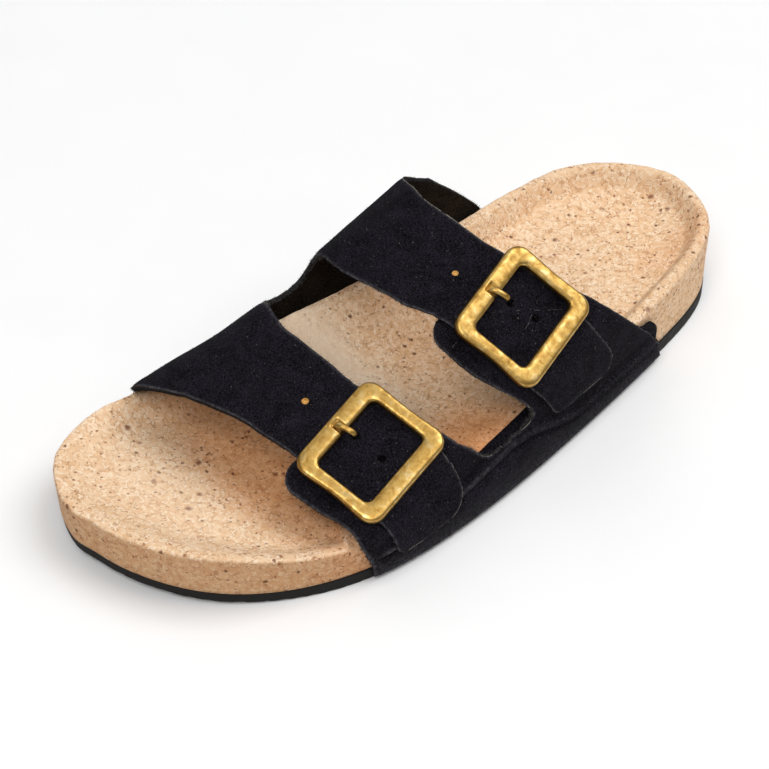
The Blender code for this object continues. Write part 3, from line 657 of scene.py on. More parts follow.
def comb_rows(table, foot, foot_round, ends, end_rounds, places):
    """Edge places of a quarter with two teeth, for each girth place on the way up."""
    rows = []
    sign = 1.0 if ends[0] > foot else -1.0
    for g in places:
        edge = [float(from_table(table, k, g)) for k in range(1, 5)]
        sway = [noise.noise(Vector((g * WANDER_PACE, k * WANDER_APART, sign))) for k in range(4)]
        edge = [e + EDGE_WANDER * s for e, s in zip(edge, sway)]
        above_foot = (g - foot) * sign
        if above_foot < 0:
            edge[1] = float(from_table(table, 2, foot)) + foot_round
            edge[2] = float(from_table(table, 3, foot)) - foot_round
        else:
            back = corner_inset(abs(girth_length((edge[1] + edge[2]) / 2, foot, g)), foot_round)
            edge[1] += back
            edge[2] -= back
        for tooth, end in enumerate(ends):
            left = girth_length((edge[2 * tooth] + edge[2 * tooth + 1]) / 2, g, end) * sign
            edge[2 * tooth] += corner_inset(max(left, 0.0), end_rounds[0])
            edge[2 * tooth + 1] -= corner_inset(max(left, 0.0), end_rounds[1])
        rows.append((g, edge, above_foot < -1e-6))
    return rows


def fine_places(marks, step):
    """Girth places from mark to mark, at most a step apart."""
    out = [marks[0]]
    for a, b in zip(marks[:-1], marks[1:]):
        n = max(1, math.ceil(abs(b - a) / step))
        out += list(a + (b - a) * np.arange(1, n + 1) / n)
    return out


def corner_marks(end, back):
    """Places that crowd together towards a rounded end."""
    return [end - back * (1 - math.sin(a)) for a in np.linspace(0.0, math.pi / 2, CORNER_ROWS)]


print("the gap's corner stands back", round(corner_inset(2.0, GAP_ROUND), 1), "mm at 2 mm from its end")

# %% [markdown]
# Below the gap the sheet is whole, and above it the two teeth go on alone. A point is made only when a face
# asks for it, so that nothing is left over in the gap. Along the gap the edge frays a little.

# %% Sheet of a comb
GAP_FRAY, FRAY_PACE, FINE_FRAY = 0.055, 0.33, 0.5


def comb_sheet(name, rows, foot, ends, counts, lift_at):
    """Sheet over the girth rows: a whole quarter below the gap and two teeth above it."""
    sign = 1.0 if ends[0] > rows[0][0] else -1.0
    starts = np.cumsum((0,) + counts)
    total = int(starts[-1])
    index, girth, ys, faces = {}, [], [], []

    def vert(r, c):
        if (r, c) not in index:
            g, edge, below = rows[r]
            band = 0 if c <= starts[1] else 1 if c <= starts[2] else 2
            u = (c - starts[band]) / counts[band]
            index[(r, c)] = len(girth)
            ys.append(edge[band] + (edge[band + 1] - edge[band]) * u)
            if starts[1] < c < starts[2]:
                fray = noise.noise(Vector((ys[-1] * FRAY_PACE, sign, 4.0)))
                fray += FINE_FRAY * noise.noise(Vector((ys[-1], sign, 9.0)))
                g += GAP_FRAY * fray * (g - rows[0][0]) / (foot - rows[0][0])
            girth.append(g)
        return index[(r, c)]

    for r in range(len(rows) - 1):
        for c in range(total):
            band = 0 if c < starts[1] else 1 if c < starts[2] else 2
            if band == 1 and not rows[r][2]:
                continue
            if band != 1 and (rows[r + 1][0] - ends[band // 2]) * sign > 1e-6:
                continue
            faces.append((vert(r, c), vert(r, c + 1), vert(r + 1, c + 1), vert(r + 1, c)))
    girth, ys = np.array(girth), np.array(ys)
    points = skin(girth, ys, lift_at(girth, ys))
    return new_piece(name, points, faces), girth


print("the edge of the gap frays by about", GAP_FRAY, "of a girth place")

# %% [markdown]
# Worn suede keeps a few soft forms: a rolled fold where the outer quarter turns over the edge of the
# footbed, a shallow dip where each strap bends over the instep, and flat shoulders where the straps turn
# down to the inner side. They are placed as ridges and troughs along paths on the skin.

# %% Paths of the creases
FOLD = (
    (10.80, -64.0), (10.72, -45.0), (10.67, -31.4), (10.57, -19.0), (10.48, -6.5), (10.55, 2.8),
    (10.85, 12.5), (11.10, 22.5), (11.18, 42.4), (11.19, 60.2), (11.25, 73.3),
)


def beside(path, shift):
    """The same path a little higher or lower on the girth."""
    return tuple((g + shift, y) for g, y in path)


# path of girth places and y, half width, height at start and end (below zero for a trough), 1 if it fades
QUARTER_CREASES = (
    (FOLD, 1.00, 1.60, 1.60, 0), (beside(FOLD, -0.27), 2.6, -1.40, -1.20, 0),
    (beside(FOLD, 0.18), 1.1, -1.20, -1.10, 0),
    (((11.60, -50.0), (11.50, -5.0), (11.60, 40.0)), 3.0, -0.30, -0.30, 1),
)
STRAP_CREASES = (
    (((3.00, -92.0), (3.00, -60.0), (3.00, -28.0)), 7.0, -1.9, -2.6, 0),
    (((3.05, -25.0), (3.00, 0.0), (3.00, 30.0)), 7.0, -2.4, 1.3, 0),
    (((5.25, -74.0), (5.35, -46.0)), 3.0, -0.30, -0.30, 1),
    (((5.30, -16.0), (5.45, 14.0)), 3.2, -0.35, -0.35, 1),
    (((2.30, -80.0), (2.50, -40.0)), 6.0, -0.35, -0.35, 1),
    (((1.70, 2.0), (2.40, 24.0)), 5.0, -0.40, -0.40, 1),
    (((1.00, 30.0), (1.60, 52.0)), 4.0, 0.30, 0.30, 1),
    (((4.40, -70.0), (4.80, -52.0)), 2.2, 0.22, 0.10, 1),
    (((4.20, -8.0), (4.90, 10.0)), 2.4, 0.25, 0.12, 1),
)
print("creases:", len(QUARTER_CREASES), "on the quarter,", len(STRAP_CREASES), "on the straps")

# %% [markdown]
# How far a point is raised depends on how near it is to each path: a bell curve across the path gives a soft
# ridge. Where a strap lies on its tab, or a buckle on the strap, the forms fade out so that both still fit.

# %% Heights of the creases
SUEDE_WAVE, SUEDE_WAVE_DEPTH = 11.0, 0.16
PATH_POINTS, NODE_LENGTH = 160, 9.0
# girth places where the straps lose their forms and the quarter gains them, with the way that takes
FORMS_TO, FORMS_TO_FADE, FORMS_FROM, FORMS_FROM_FADE = 6.5, 0.8, 9.9, 0.5


def on_skin(path, lift_at=lap_lift, count=PATH_POINTS):
    """Points along a path of girth places and y."""
    places = np.array(path, float)
    run = np.r_[0.0, np.cumsum(np.hypot(np.diff(places[:, 0]) * NODE_LENGTH, np.diff(places[:, 1])))]
    want = np.linspace(0.0, run[-1], count)
    g, y = np.interp(want, run, places[:, 0]), np.interp(want, run, places[:, 1])
    return skin(g, y, lift_at(g))


def no_lift(girth):
    """Places on the skin itself."""
    return np.zeros(len(girth))


def crease_height(points, creases, lift_at):
    """Sum of the listed ridges and troughs at points of the skin."""
    total = np.zeros(len(points))
    for path, half, first, last, fades in creases:
        line = on_skin(path, lift_at)
        away = np.linalg.norm(points[:, None] - line[None], axis=2)
        near = away.argmin(1)
        u = near / (PATH_POINTS - 1)
        ends = smooth(4 * u) * smooth(4 * (1 - u)) if fades else 1.0
        nearest = away[np.arange(len(points)), near]
        total += (first + (last - first) * u) * np.exp(-(nearest / half) ** 2) * ends
    return total


def strap_lift(girth, y):
    """Height of the straps over the skin; plain where they lie on their tabs."""
    base = skin(girth, y, lap_lift(girth))
    form = crease_height(base, STRAP_CREASES, lap_lift) + rough(base, SUEDE_WAVE, SUEDE_WAVE_DEPTH, 5.0)
    return lap_lift(girth) + form * smooth((FORMS_TO - girth) / FORMS_TO_FADE)


def tab_lift(girth, y):
    """Height of the outer quarter and its tabs; plain where a strap or buckle lies on it."""
    form = crease_height(skin(girth, y), QUARTER_CREASES, no_lift)
    return form * smooth((girth - FORMS_FROM) / FORMS_FROM_FADE)


print("the straps climb", LAP, "mm onto their tabs")

# %% [markdown]
# The rows of each sheet crowd together where its edge turns quickly: at the foot of the gap, at the strap
# ends and along the fold. Between those places they are further apart, which saves faces.

# %% Cut the two combs
ROW_STEP, FOLD_STEP, FOLD_LOW, SOLE_EDGE = 0.11, 0.04, 11.6, 12.0
GAP_RISE, GAP_ROWS, NOTCH_RISE, NOTCH_ROWS = 0.9, 9, 0.6, 7
REAR_TIP_WAY, FRONT_TIP_WAY, TAB_TOP_WAY = 1.0, 0.5, 0.6
# columns of faces in front of the gap, across it and behind it
STRAP_COLUMNS, TAB_COLUMNS = (36, 26, 36), (40, 24, 60)


def foot_marks(foot, rise, count):
    """Places that crowd together at the foot of a gap."""
    return list(foot + rise * (1 - np.cos(np.linspace(0.0, math.pi / 2, count))))


strap_marks = [0.0, 1.0] + foot_marks(GAP_FOOT, GAP_RISE, GAP_ROWS) + [4.0, 5.0, 6.0, 7.0, 8.0, 9.0]
strap_marks += corner_marks(REAR_TIP, REAR_TIP_WAY) + corner_marks(FRONT_TIP, FRONT_TIP_WAY)
strap_places = fine_places(strap_marks, ROW_STEP)
strap_ends = (FRONT_TIP, REAR_TIP)
strap_rows = comb_rows(STRAP_EDGES, GAP_FOOT, GAP_ROUND, strap_ends, TIP_ROUNDS, strap_places)
straps, strap_girth = comb_sheet("upper_straps", strap_rows, GAP_FOOT, strap_ends, STRAP_COLUMNS, strap_lift)
tab_marks = foot_marks(NOTCH_FOOT, -NOTCH_RISE, NOTCH_ROWS) + [9.0, 8.0]
tab_marks += [2 * TAB_TOP - m for m in corner_marks(TAB_TOP, TAB_TOP_WAY)]
tab_places = fine_places([SOLE_EDGE, FOLD_LOW], ROW_STEP)
tab_places += fine_places([FOLD_LOW, NOTCH_FOOT], FOLD_STEP)[1:]
tab_places += fine_places(tab_marks, ROW_STEP)[1:]
tab_ends = (TAB_TOP, TAB_TOP)
tab_rows = comb_rows(TAB_EDGES, NOTCH_FOOT, NOTCH_ROUND, tab_ends, TAB_ROUNDS, tab_places)
tabs, tab_girth = comb_sheet("upper_quarter", tab_rows, NOTCH_FOOT, tab_ends, TAB_COLUMNS, tab_lift)
print("straps:", len(strap_rows), "rows; outer quarter:", len(tab_rows), "rows")

# %% [markdown]
# Two helpers are needed from here on. One replaces a mesh by the result of its modifiers, because a finished
# piece should carry none. The other measures how near each point is to a line; a search tree makes that
# quick for many points.

# %% Modifiers and distances


def apply_modifiers(obj):
    """Put the result of the modifiers into the mesh."""
    bpy.context.view_layer.update()
    graph = bpy.context.evaluated_depsgraph_get()
    mesh = bpy.data.meshes.new_from_object(obj.evaluated_get(graph))
    obj.modifiers.clear()
    obj.data = mesh
    obj.data.name = obj.name


def in_metres(points):
    """Points in the frame of the object, as Blender's vectors in metres."""
    return [Vector(v) for v in (points - CENTRE) * MM]


def tree_of(line):
    """Search tree over the points of a line."""
    tree = KDTree(len(line))
    for i, co in enumerate(line):
        tree.insert(co, i)
    tree.balance()
    return tree


def distance_to(points, line):
    """Distance in millimetres from points to the nearest point of a line, both in metres."""
    tree = tree_of(line)
    return np.array([tree.find(v.co)[2] for v in points]) / MM


print("helpers for modifiers and distances ready")

# %% [markdown]
# A sheet gets its wall on the side away from its normals, so all faces have to look outwards first. Its open
# border is where the suede was cut, and is kept to measure from. Four places for finishes are made now, for
# the face, the inside, the cut edge and the core of the hide, and filled later.

# %% Sides, border and finishes of a sheet
SUEDE_FACE, SUEDE_INSIDE, SUEDE_CUT, HIDE_CORE = 0, 1, 2, 3
LAST_HEIGHT = 15.0


def face_outwards(obj):
    """Turn a sheet so that its faces look away from the foot."""
    bm = bmesh.new()
    bm.from_mesh(obj.data)
    score = 0.0
    for f in bm.faces:
        c = f.calc_center_median()
        score += (c.x * f.normal.x + (c.z - LAST_HEIGHT * MM) * f.normal.z) * f.calc_area()
    if score < 0:
        bmesh.ops.reverse_faces(bm, faces=bm.faces)
    bm.to_mesh(obj.data)
    bm.free()


def border_points(obj):
    """Points on the open border of a sheet, kept to measure how near a place is to a cut."""
    bm = bmesh.new()
    bm.from_mesh(obj.data)
    out = [e.verts[0].co.copy() for e in bm.edges if e.is_boundary]
    bm.free()
    return out


def finish_places(obj):
    """Four empty places for the finishes of the suede."""
    for _ in (SUEDE_FACE, SUEDE_INSIDE, SUEDE_CUT, HIDE_CORE):
        obj.data.materials.append(None)


for sheet in (straps, tabs):
    face_outwards(sheet)
borders = {sheet.name: border_points(sheet) for sheet in (straps, tabs)}
print("border points:", {name: len(points) for name, points in borders.items()})

# %% [markdown]
# Suede is pressed thin where it was cut, so the sheet first dips a little along its border. The wall then
# goes inwards from the outer face. Solidify can give the inner face and the cut edge materials of
# their own, so the fleshy inside and the raw edge are separate finishes from the start.

# %% Give the suede its wall
STRAP_WALL_ON_TAB, CUT_ROUND, CUT_SEGMENTS, CUT_ANGLE = 1.58, 0.30, 2, 50.0
EDGE_PRESS, EDGE_PRESS_REACH = 0.35, 2.2


def thicken(obj, shares):
    """Wall from the outer face inwards; shares scale it from place to place."""
    group = obj.vertex_groups.new(name="wall")
    for i, share in enumerate(shares):
        group.add([i], float(share), "REPLACE")
    finish_places(obj)
    wall = obj.modifiers.new("wall", "SOLIDIFY")
    wall.thickness = WALL * MM
    wall.offset = -1.0
    wall.use_even_offset = True
    wall.vertex_group = "wall"
    wall.material_offset = SUEDE_INSIDE
    wall.material_offset_rim = SUEDE_CUT
    cut = obj.modifiers.new("cut", "BEVEL")
    cut.width = CUT_ROUND * MM
    cut.segments = CUT_SEGMENTS
    cut.limit_method = "ANGLE"
    cut.angle_limit = math.radians(CUT_ANGLE)
    apply_modifiers(obj)
    obj.vertex_groups.clear()


thin = 1 - (1 - STRAP_WALL_ON_TAB / WALL) * smooth((strap_girth - TAB_TOP + LAP_BEFORE) / LAP_LENGTH)
for sheet, shares in ((straps, thin), (tabs, np.ones(len(tab_girth)))):
    to_border = distance_to(sheet.data.vertices, borders[sheet.name])
    press = EDGE_PRESS * (1 - smooth(to_border / EDGE_PRESS_REACH))
    roughen(sheet, -press)
    borders[sheet.name] = border_points(sheet)
    thicken(sheet, shares - press / WALL)
print("straps:", len(straps.data.polygons), "faces; outer quarter:", len(tabs.data.polygons), "faces")

# %% [markdown]
# A second, thinner layer shows in two places: on the shoulder of the cork inside the outer notch, and as
# a small curl behind the rear corner of the quarter. Both are small grids of points: the first takes its
# heights from the cork by casting rays down on it, the second follows the skin and stands up at its end.

# %% Lining strips
LINING_WALL = 0.7
NOTCH_LINE = ((47.8, -27.0), (42.0, 12.0))
NOTCH_TUCK, NOTCH_LIFT, NOTCH_GRID = 0.9, 0.9, (40, 9)
CURL_GIRTHS, CURL_REACH, CURL_RISE, CURL_CENTRE, CURL_SPREAD = (10.35, 11.35), 1.8, 3.3, 10.85, 0.36
CURL_TUCK, CURL_BASE, CURL_UNDER, CURL_BEND, CURL_GRID = 0.8, 1.0, 1.5, 1.5, (16, 12)
RAY_FROM, DOWN = 100.0, Vector((0.0, 0.0, -1.0))


def grid_sheet(name, grid):
    """Sheet from a grid of points."""
    rows, cols = grid.shape[:2]
    faces = [(r * cols + c, r * cols + c + 1, (r + 1) * cols + c + 1, (r + 1) * cols + c)
             for r in range(rows - 1) for c in range(cols - 1)]
    return new_piece(name, grid.reshape(-1, 3), faces)


def notch_lining():
    """Dark strip over the shoulder of the cork, seen through the outer notch."""
    cork_faces = [p.vertices for p in footbed.data.polygons]
    cork_tree = BVHTree.FromPolygons([v.co for v in footbed.data.vertices], cork_faces)
    (x0, y0), (x1, y1) = NOTCH_LINE
    grid = []
    for y in np.linspace(y0, y1, NOTCH_GRID[0]):
        inner = x0 + (x1 - x0) * (y - y0) / (y1 - y0)
        row = []
        for x in np.linspace(inner, float(outer_x(y)) - NOTCH_TUCK, NOTCH_GRID[1]):
            above_cork = Vector((x - CENTRE[0], y - CENTRE[1], RAY_FROM)) * MM
            top = cork_tree.ray_cast(above_cork, DOWN)[0]
            row.append((x, y, top.z / MM + NOTCH_LIFT))
        grid.append(row)
    return grid_sheet("lining_notch", np.array(grid))


def rear_curl():
    """Small curl of the lining behind the quarter's rear corner."""
    rows, cols = CURL_GRID
    t = np.linspace(0.0, 1.0, cols)
    grid = []
    for g in np.linspace(*CURL_GIRTHS, rows):
        edge = float(from_table(TAB_EDGES, 4, g))
        share = math.exp(-((g - CURL_CENTRE) / CURL_SPREAD) ** 4)
        row = skin(np.full(cols, g), edge - CURL_TUCK + (CURL_BASE + CURL_REACH * share) * t, -CURL_UNDER)
        row[:, 2] += CURL_RISE * share * t ** CURL_BEND
        grid.append(row)
    return grid_sheet("lining_curl", np.array(grid))


linings = [notch_lining(), rear_curl()]
for strip in linings:
    face_outwards(strip)
    wall = strip.modifiers.new("wall", "SOLIDIFY")
    wall.thickness = LINING_WALL * MM
    wall.offset = -1.0
    apply_modifiers(strip)
print("lining strips:", [len(strip.data.polygons) for strip in linings])

# %% [markdown]
# ## Punched holes
# Each strap has a row of punched holes for the prong. The one outside the frame shows the undyed tan core
# of the hide, so its punch goes only a little way in; the others go right through. A Boolean with small
# punches cuts them, and it passes the punch's own material on to the inside of the hole.

# %% Punch the straps
HOLE_SIDES, PUNCH_OVER, PUNCH_THROUGH, CORE_DEPTH = 20, 4.0, 3.5, 0.5
GIRTH_NEAR, Y_NEAR = 0.05, 0.5
# girth place, y, radius, 1 where the tan core shows
HOLES = (
    (5.963, -55.18, 1.20, 1), (7.350, -52.47, 1.45, 0), (8.104, -50.79, 1.40, 0),
    (6.323, 3.22, 1.05, 1), (7.493, 11.42, 1.45, 0), (8.021, 15.54, 1.40, 0),
)


def strap_normal(g, y):
    """Unit normal of the strap's face at one place."""
    girths = [g - GIRTH_NEAR, g + GIRTH_NEAR, g, g]
    p = skin(girths, [y, y, y - Y_NEAR, y + Y_NEAR], lap_lift(girths))
    n = np.cross(p[1] - p[0], p[3] - p[2])
    n /= np.linalg.norm(n)
    return n if n[2] > 0 else -n


def make_punch(centre, normal, radius, below):
    """Straight many-sided punch, reaching a given way below the face."""
    side = np.cross(normal, (0.0, 1.0, 0.0))
    side /= np.linalg.norm(side)
    other = np.cross(normal, side)
    a = 2 * math.pi * np.arange(HOLE_SIDES) / HOLE_SIDES
    ring = centre + radius * (np.cos(a)[:, None] * side + np.sin(a)[:, None] * other)
    rings = np.vstack([ring - normal * below, ring + normal * PUNCH_OVER])
    punch = new_piece("punch", rings, ring_faces(2, HOLE_SIDES))
    recalc_normals(punch)
    return punch


def punch_holes(objects, holes):
    """Punch each hole; where the core shows, only down to the core."""
    for g, y, radius, core in holes:
        face = skin([g], [y], strap_lift(np.array([g]), np.array([y])))[0]
        punch = make_punch(face, strap_normal(g, y), radius, CORE_DEPTH if core else PUNCH_THROUGH)
        finish_places(punch)
        hole_finish = [HIDE_CORE if core else SUEDE_CUT] * len(punch.data.polygons)
        punch.data.polygons.foreach_set("material_index", hole_finish)
        for obj in objects[:1] if core else objects:
            cut = obj.modifiers.new("punch", "BOOLEAN")
            cut.operation = "DIFFERENCE"
            cut.solver = "EXACT"
            cut.material_mode = "INDEX"
            cut.object = punch
            apply_modifiers(obj)
        bpy.data.objects.remove(punch)


punch_holes((straps, tabs), HOLES)
print("holes:", len(HOLES), "straps now", len(straps.data.polygons), "faces")

# %% [markdown]
# A material can make the suede paler near its cuts and along its fold if it knows how near they are. A search
# tree over the points of a line gives that distance for every point of a piece; from it comes a share between
# 0 and 1, which is stored with the mesh. Near the cuts it is rubbed nap; along the fold's ridge it is partly
# rubbed nap and partly a painted highlight.

# %% Rubbed places and the painted highlight of the fold
CUT_RUB, FOLD_RUB_AND_HIGHLIGHT_REACH, FOLD_RUB_AND_HIGHLIGHT_SHARE = 0.30, 0.7, 1.0
FOOT_RUB, FOOT_SHARE, FOLD_POINTS, FAR = 4.5, 0.6, 400, 99.0

fold_line = in_metres(on_skin(FOLD, no_lift, FOLD_POINTS))
for piece in (straps, tabs):
    to_cut = distance_to(piece.data.vertices, borders[piece.name])
    to_fold = distance_to(piece.data.vertices, fold_line) if piece is tabs else np.full(len(to_cut), FAR)
    # along the fold the share is partly rubbed nap and partly a painted highlight on the ridge
    wear_and_highlight = np.maximum(np.exp(-to_cut / CUT_RUB), FOLD_RUB_AND_HIGHLIGHT_SHARE * np.exp(-(to_fold / FOLD_RUB_AND_HIGHLIGHT_REACH) ** 2))
    to_foot = np.maximum(points_mm(piece)[:, 2] - PANEL_FOOT, 0.0)
    wear_and_highlight = np.maximum(wear_and_highlight, FOOT_SHARE * np.exp(-to_foot / FOOT_RUB))
    set_values(piece, "rubbed", wear_and_highlight)
    print(piece.name, "is worn on", int(np.sum(wear_and_highlight > 0.5)), "of its", len(wear_and_highlight), "points")

# %% [markdown]
# ## Brass buckles
# The frame of a buckle lies on its strap. It could be turned into place by hand; a plane fitted to the
# heights of the strap under it gives its tilt, and its highest place gives where the frame touches down.

# %% Seat of a buckle
BUCKLE_LENGTH, BUCKLE_WIDTH, END_BAR, SIDE_BAR, BAR_HEIGHT = 33.0, 37.6, 6.2, 5.0, 2.8
CORNER, INNER_CORNER = 5.0, 2.2
SEAT_ALONG, SEAT_ACROSS = (-0.42, -0.19, 0.14, 0.37), (-0.39, 0.0, 0.39)
# name, centre x, centre y, direction of the strap in plan, in degrees from +X
BUCKLES = (("front", 34.6, -52.4, 12.4), ("back", 34.1, 11.2, 23.5))
PRONG_BACK = 2.7
STRAP_PLACES, STRAP_SAMPLES = (6.0, 9.9), 80


def buckle_plane(cx, cy, heading):
    """Seat point and axes of a buckle lying on its strap."""
    a = math.radians(heading)
    along, across = np.array([math.cos(a), math.sin(a)]), np.array([-math.sin(a), math.cos(a)])
    places = np.linspace(*STRAP_PLACES, STRAP_SAMPLES)
    rows = []
    for u in SEAT_ALONG:
        for v in SEAT_ACROSS:
            p = np.array([cx, cy]) + along * u * BUCKLE_LENGTH + across * v * BUCKLE_WIDTH
            top = skin(places, np.full(STRAP_SAMPLES, p[1]), lap_lift(places))
            rows.append((p[0] - cx, p[1] - cy, float(np.interp(p[0], top[:, 0], top[:, 2]))))
    rows = np.array(rows)
    design = np.c_[rows[:, :2], np.ones(len(rows))]
    fit = np.linalg.lstsq(design, rows[:, 2], rcond=None)[0]
    normal = np.array([-fit[0], -fit[1], 1.0])
    normal /= np.linalg.norm(normal)
    worst = float(np.max(rows[:, 2] - design @ fit)) * normal[2]
    x_axis = np.array([along[0], along[1], fit[0] * along[0] + fit[1] * along[1]])
    x_axis /= np.linalg.norm(x_axis)
    return np.array([cx, cy, fit[2]]) + normal * (worst + SEAT), x_axis, np.cross(normal, x_axis), normal


places = {name: buckle_plane(cx, cy, heading) for name, cx, cy, heading in BUCKLES}
print("buckles", BUCKLE_LENGTH, "by", BUCKLE_WIDTH, "mm:", list(places))

# %% [markdown]
# The frame is cast with domed bars, tumbled and aged, so its faces are softly dented. Rings round the bar,
# from the outer side over the top to the inner side, follow two rounded rectangles; small random dents are
# then moved in, and a notch where the root of the prong sits.

# %% Buckle frames
CORNER_POINTS, SIDE_POINTS, BAR_POINTS = 14, 56, 30
DENT_SIZE, DENT_DEPTH = 2.4, 0.07
FINE_DENT_SIZE, FINE_DENT_DEPTH = 0.9, 0.018
TOE_WAIST, HEEL_WAIST = 0.6, 0.35
ROOT_HALF, ROOT_DEPTH, ROOT_FADE, ROOT_BEHIND, ROOT_AHEAD, ROOT_ABOVE = 1.80, 0.7, 0.5, 0.9, 0.5, 1.0
BAR_FOOT, BAR_SIDE, BAR_SQUARE, BAR_DOME = 0.06, 0.10, 0.52, 0.42


def rounded_rectangle(length, width, radius):
    """Loop with many points on its sides and corners."""
    pts = []
    for qx, qy, start in ((1, 1, 0), (-1, 1, 90), (-1, -1, 180), (1, -1, 270)):
        for a in np.radians(start + 90.0 * np.arange(CORNER_POINTS + 1) / CORNER_POINTS):
            pts.append((qx * (length / 2 - radius) + radius * math.cos(a),
                        qy * (width / 2 - radius) + radius * math.sin(a)))
    out = []
    for k, p in enumerate(pts):
        q = pts[(k + 1) % len(pts)]
        n = SIDE_POINTS if (k + 1) % (CORNER_POINTS + 1) == 0 else 1
        out += [np.array(p) + (np.array(q) - np.array(p)) * i / n for i in range(n)]
    return np.array(out)


def bar_profile():
    """Share of the bar's width and height round its section: flat below, domed above."""
    a = np.linspace(0.0, math.pi, BAR_POINTS)
    share = 0.5 - 0.5 * np.sign(np.cos(a)) * np.abs(np.cos(a)) ** BAR_SQUARE
    height = BAR_SIDE + (1 - BAR_SIDE) * np.sin(a) ** BAR_DOME
    return [(BAR_FOOT, 0.0)] + list(zip(share, height)) + [(1 - BAR_FOOT, 0.0)]


def make_frame(name, place):
    """Frame with domed bars, dented as a tumbled casting is."""
    seat, ax, ay, normal = place
    outer = rounded_rectangle(BUCKLE_LENGTH, BUCKLE_WIDTH, CORNER)
    middle = np.cos(math.pi * np.clip(outer[:, 0] / (BUCKLE_LENGTH - 2 * CORNER), -0.5, 0.5)) ** 2
    on_side = np.abs(outer[:, 1]) > BUCKLE_WIDTH / 2 - 0.01
    outer[:, 1] += on_side * middle * np.where(outer[:, 1] < 0, TOE_WAIST, -HEEL_WAIST)
    inner = rounded_rectangle(BUCKLE_LENGTH - 2 * END_BAR, BUCKLE_WIDTH - 2 * SIDE_BAR, INNER_CORNER)
    profile = bar_profile()
    verts = []
    for share, height in profile:
        plan = outer + (inner - outer) * share
        verts.append(seat + plan[:, :1] * ax + plan[:, 1:] * ay + normal * (height * BAR_HEIGHT))
    piece = new_piece(name, np.vstack(verts), ring_faces(len(profile), len(outer), closed=True))
    recalc_normals(piece)
    pts = points_mm(piece)
    top = np.repeat([h for s, h in profile], len(outer))
    dents = -np.abs(rough(pts, DENT_SIZE, DENT_DEPTH, 11.0))
    dents = dents + rough(pts, FINE_DENT_SIZE, FINE_DENT_DEPTH, 2.0)
    local = pts + CENTRE - seat
    from_end = local @ ax + BUCKLE_LENGTH / 2
    on_bar = (from_end > PRONG_BACK - ROOT_BEHIND) & (from_end < END_BAR + ROOT_AHEAD)
    root = on_bar & (local @ normal > ROOT_ABOVE)
    notch = ROOT_DEPTH * root * smooth((ROOT_HALF - np.abs(local @ ay)) / ROOT_FADE)
    roughen(piece, dents * np.clip(top * 2.0, 0.0, 1.0) - notch)
    set_values(piece, "rim", np.repeat([1 - h for s, h in profile], len(outer)))
    return piece


frames = {name: make_frame("brass_frame_" + name, place) for name, place in places.items()}
print("frames:", {name: len(obj.data.vertices) for name, obj in frames.items()})

# %% [markdown]
# The prong is a short bent wire. Its root sits in a notch of the inner bar, it runs over the bar and dips
# to its hole in the strap. A round section swept along a bent path gives it, tapering to a blunt tip.

# %% Prongs
PRONG_SIDES, PRONG_RINGS = 16, 44
# along from the root, sideways, height of the underside, half width, thickness
PRONG_PATH = (
    (-0.5, 0.00, 1.4, 0.90, 1.0), (0.0, 0.00, 2.0, 1.05, 1.2), (0.8, 0.05, 2.4, 1.10, 1.4),
    (1.8, 0.20, 2.7, 1.08, 1.5), (3.0, 0.40, 2.8, 1.05, 1.5), (4.2, 0.60, 2.8, 1.02, 1.5),
    (5.3, 0.76, 2.7, 1.00, 1.5), (6.2, 0.88, 2.4, 0.95, 1.4), (6.9, 0.96, 2.0, 0.80, 1.2),
    (7.3, 1.00, 1.8, 0.40, 0.7),
)


def make_prong(name, place):
    """Bent wire from the inner bar to the strap."""
    seat, ax, ay, normal = place
    path = np.array(PRONG_PATH)
    at = np.linspace(path[0, 0], path[-1, 0], PRONG_RINGS)
    side, low, half, thick = [curve(path[:, 0], path[:, k], at) for k in (1, 2, 3, 4)]
    start = -BUCKLE_LENGTH / 2 + PRONG_BACK
    a = 2 * math.pi * np.arange(PRONG_SIDES) / PRONG_SIDES
    verts = []
    for u, v, h, w, t in zip(at, side, low, half, thick):
        height = h + t / 2 * (1 + np.sin(a))
        verts.append(seat + (start + u) * ax + (v + w * np.cos(a))[:, None] * ay + height[:, None] * normal)
    piece = new_piece(name, np.vstack(verts), ring_faces(len(at), PRONG_SIDES))
    recalc_normals(piece)
    return piece


prongs = {name: make_prong("brass_prong_" + name, place) for name, place in places.items()}
print("prongs:", sorted(prongs))

# %% [markdown]
# ## Node helpers and colours
# Materials and geometry trees are both graphs of nodes. One small function adds a node with its settings
# and links, which keeps each graph readable as a list. Colours are written as sRGB hex values, as a colour
# picker shows them, and turned to linear light once.

# %% Nodes and colours


def linear(hex_colour):
    """Linear RGBA of an sRGB hex colour."""
    out = []
    for k in (0, 2, 4):
        c = int(hex_colour[k:k + 2], 16) / 255.0
        out.append(c / 12.92 if c <= 0.04045 else ((c + 0.055) / 1.055) ** 2.4)
    return (*out, 1.0)


def fill(tree, node, inputs):
    """Give the inputs of a node numbers, colours or sockets to link."""
    for key, value in inputs.items():
        socket = node.inputs[key]
        if isinstance(value, bpy.types.NodeSocket):
            tree.links.new(value, socket)
        else:
            socket.default_value = value


def add(tree, kind, settings=None, inputs=None):
    """Add a node; settings are its properties, inputs are numbers, colours or sockets to link."""
    node = tree.nodes.new(kind)
    for key, value in (settings or {}).items():
        setattr(node, key, value)
    fill(tree, node, inputs or {})
    return node


def new_finish(name):
    """Empty material with its shader, and coordinates in millimetres."""
    mat = bpy.data.materials.new(name)
    mat.use_nodes = True
    tree = mat.node_tree
    shader = tree.nodes["Principled BSDF"]
    coords = add(tree, "ShaderNodeTexCoord")
    mm = add(tree, "ShaderNodeMapping", None, {"Vector": coords.outputs["Object"], "Scale": (1000.0,) * 3})
    return mat, tree, shader, mm.outputs[0]


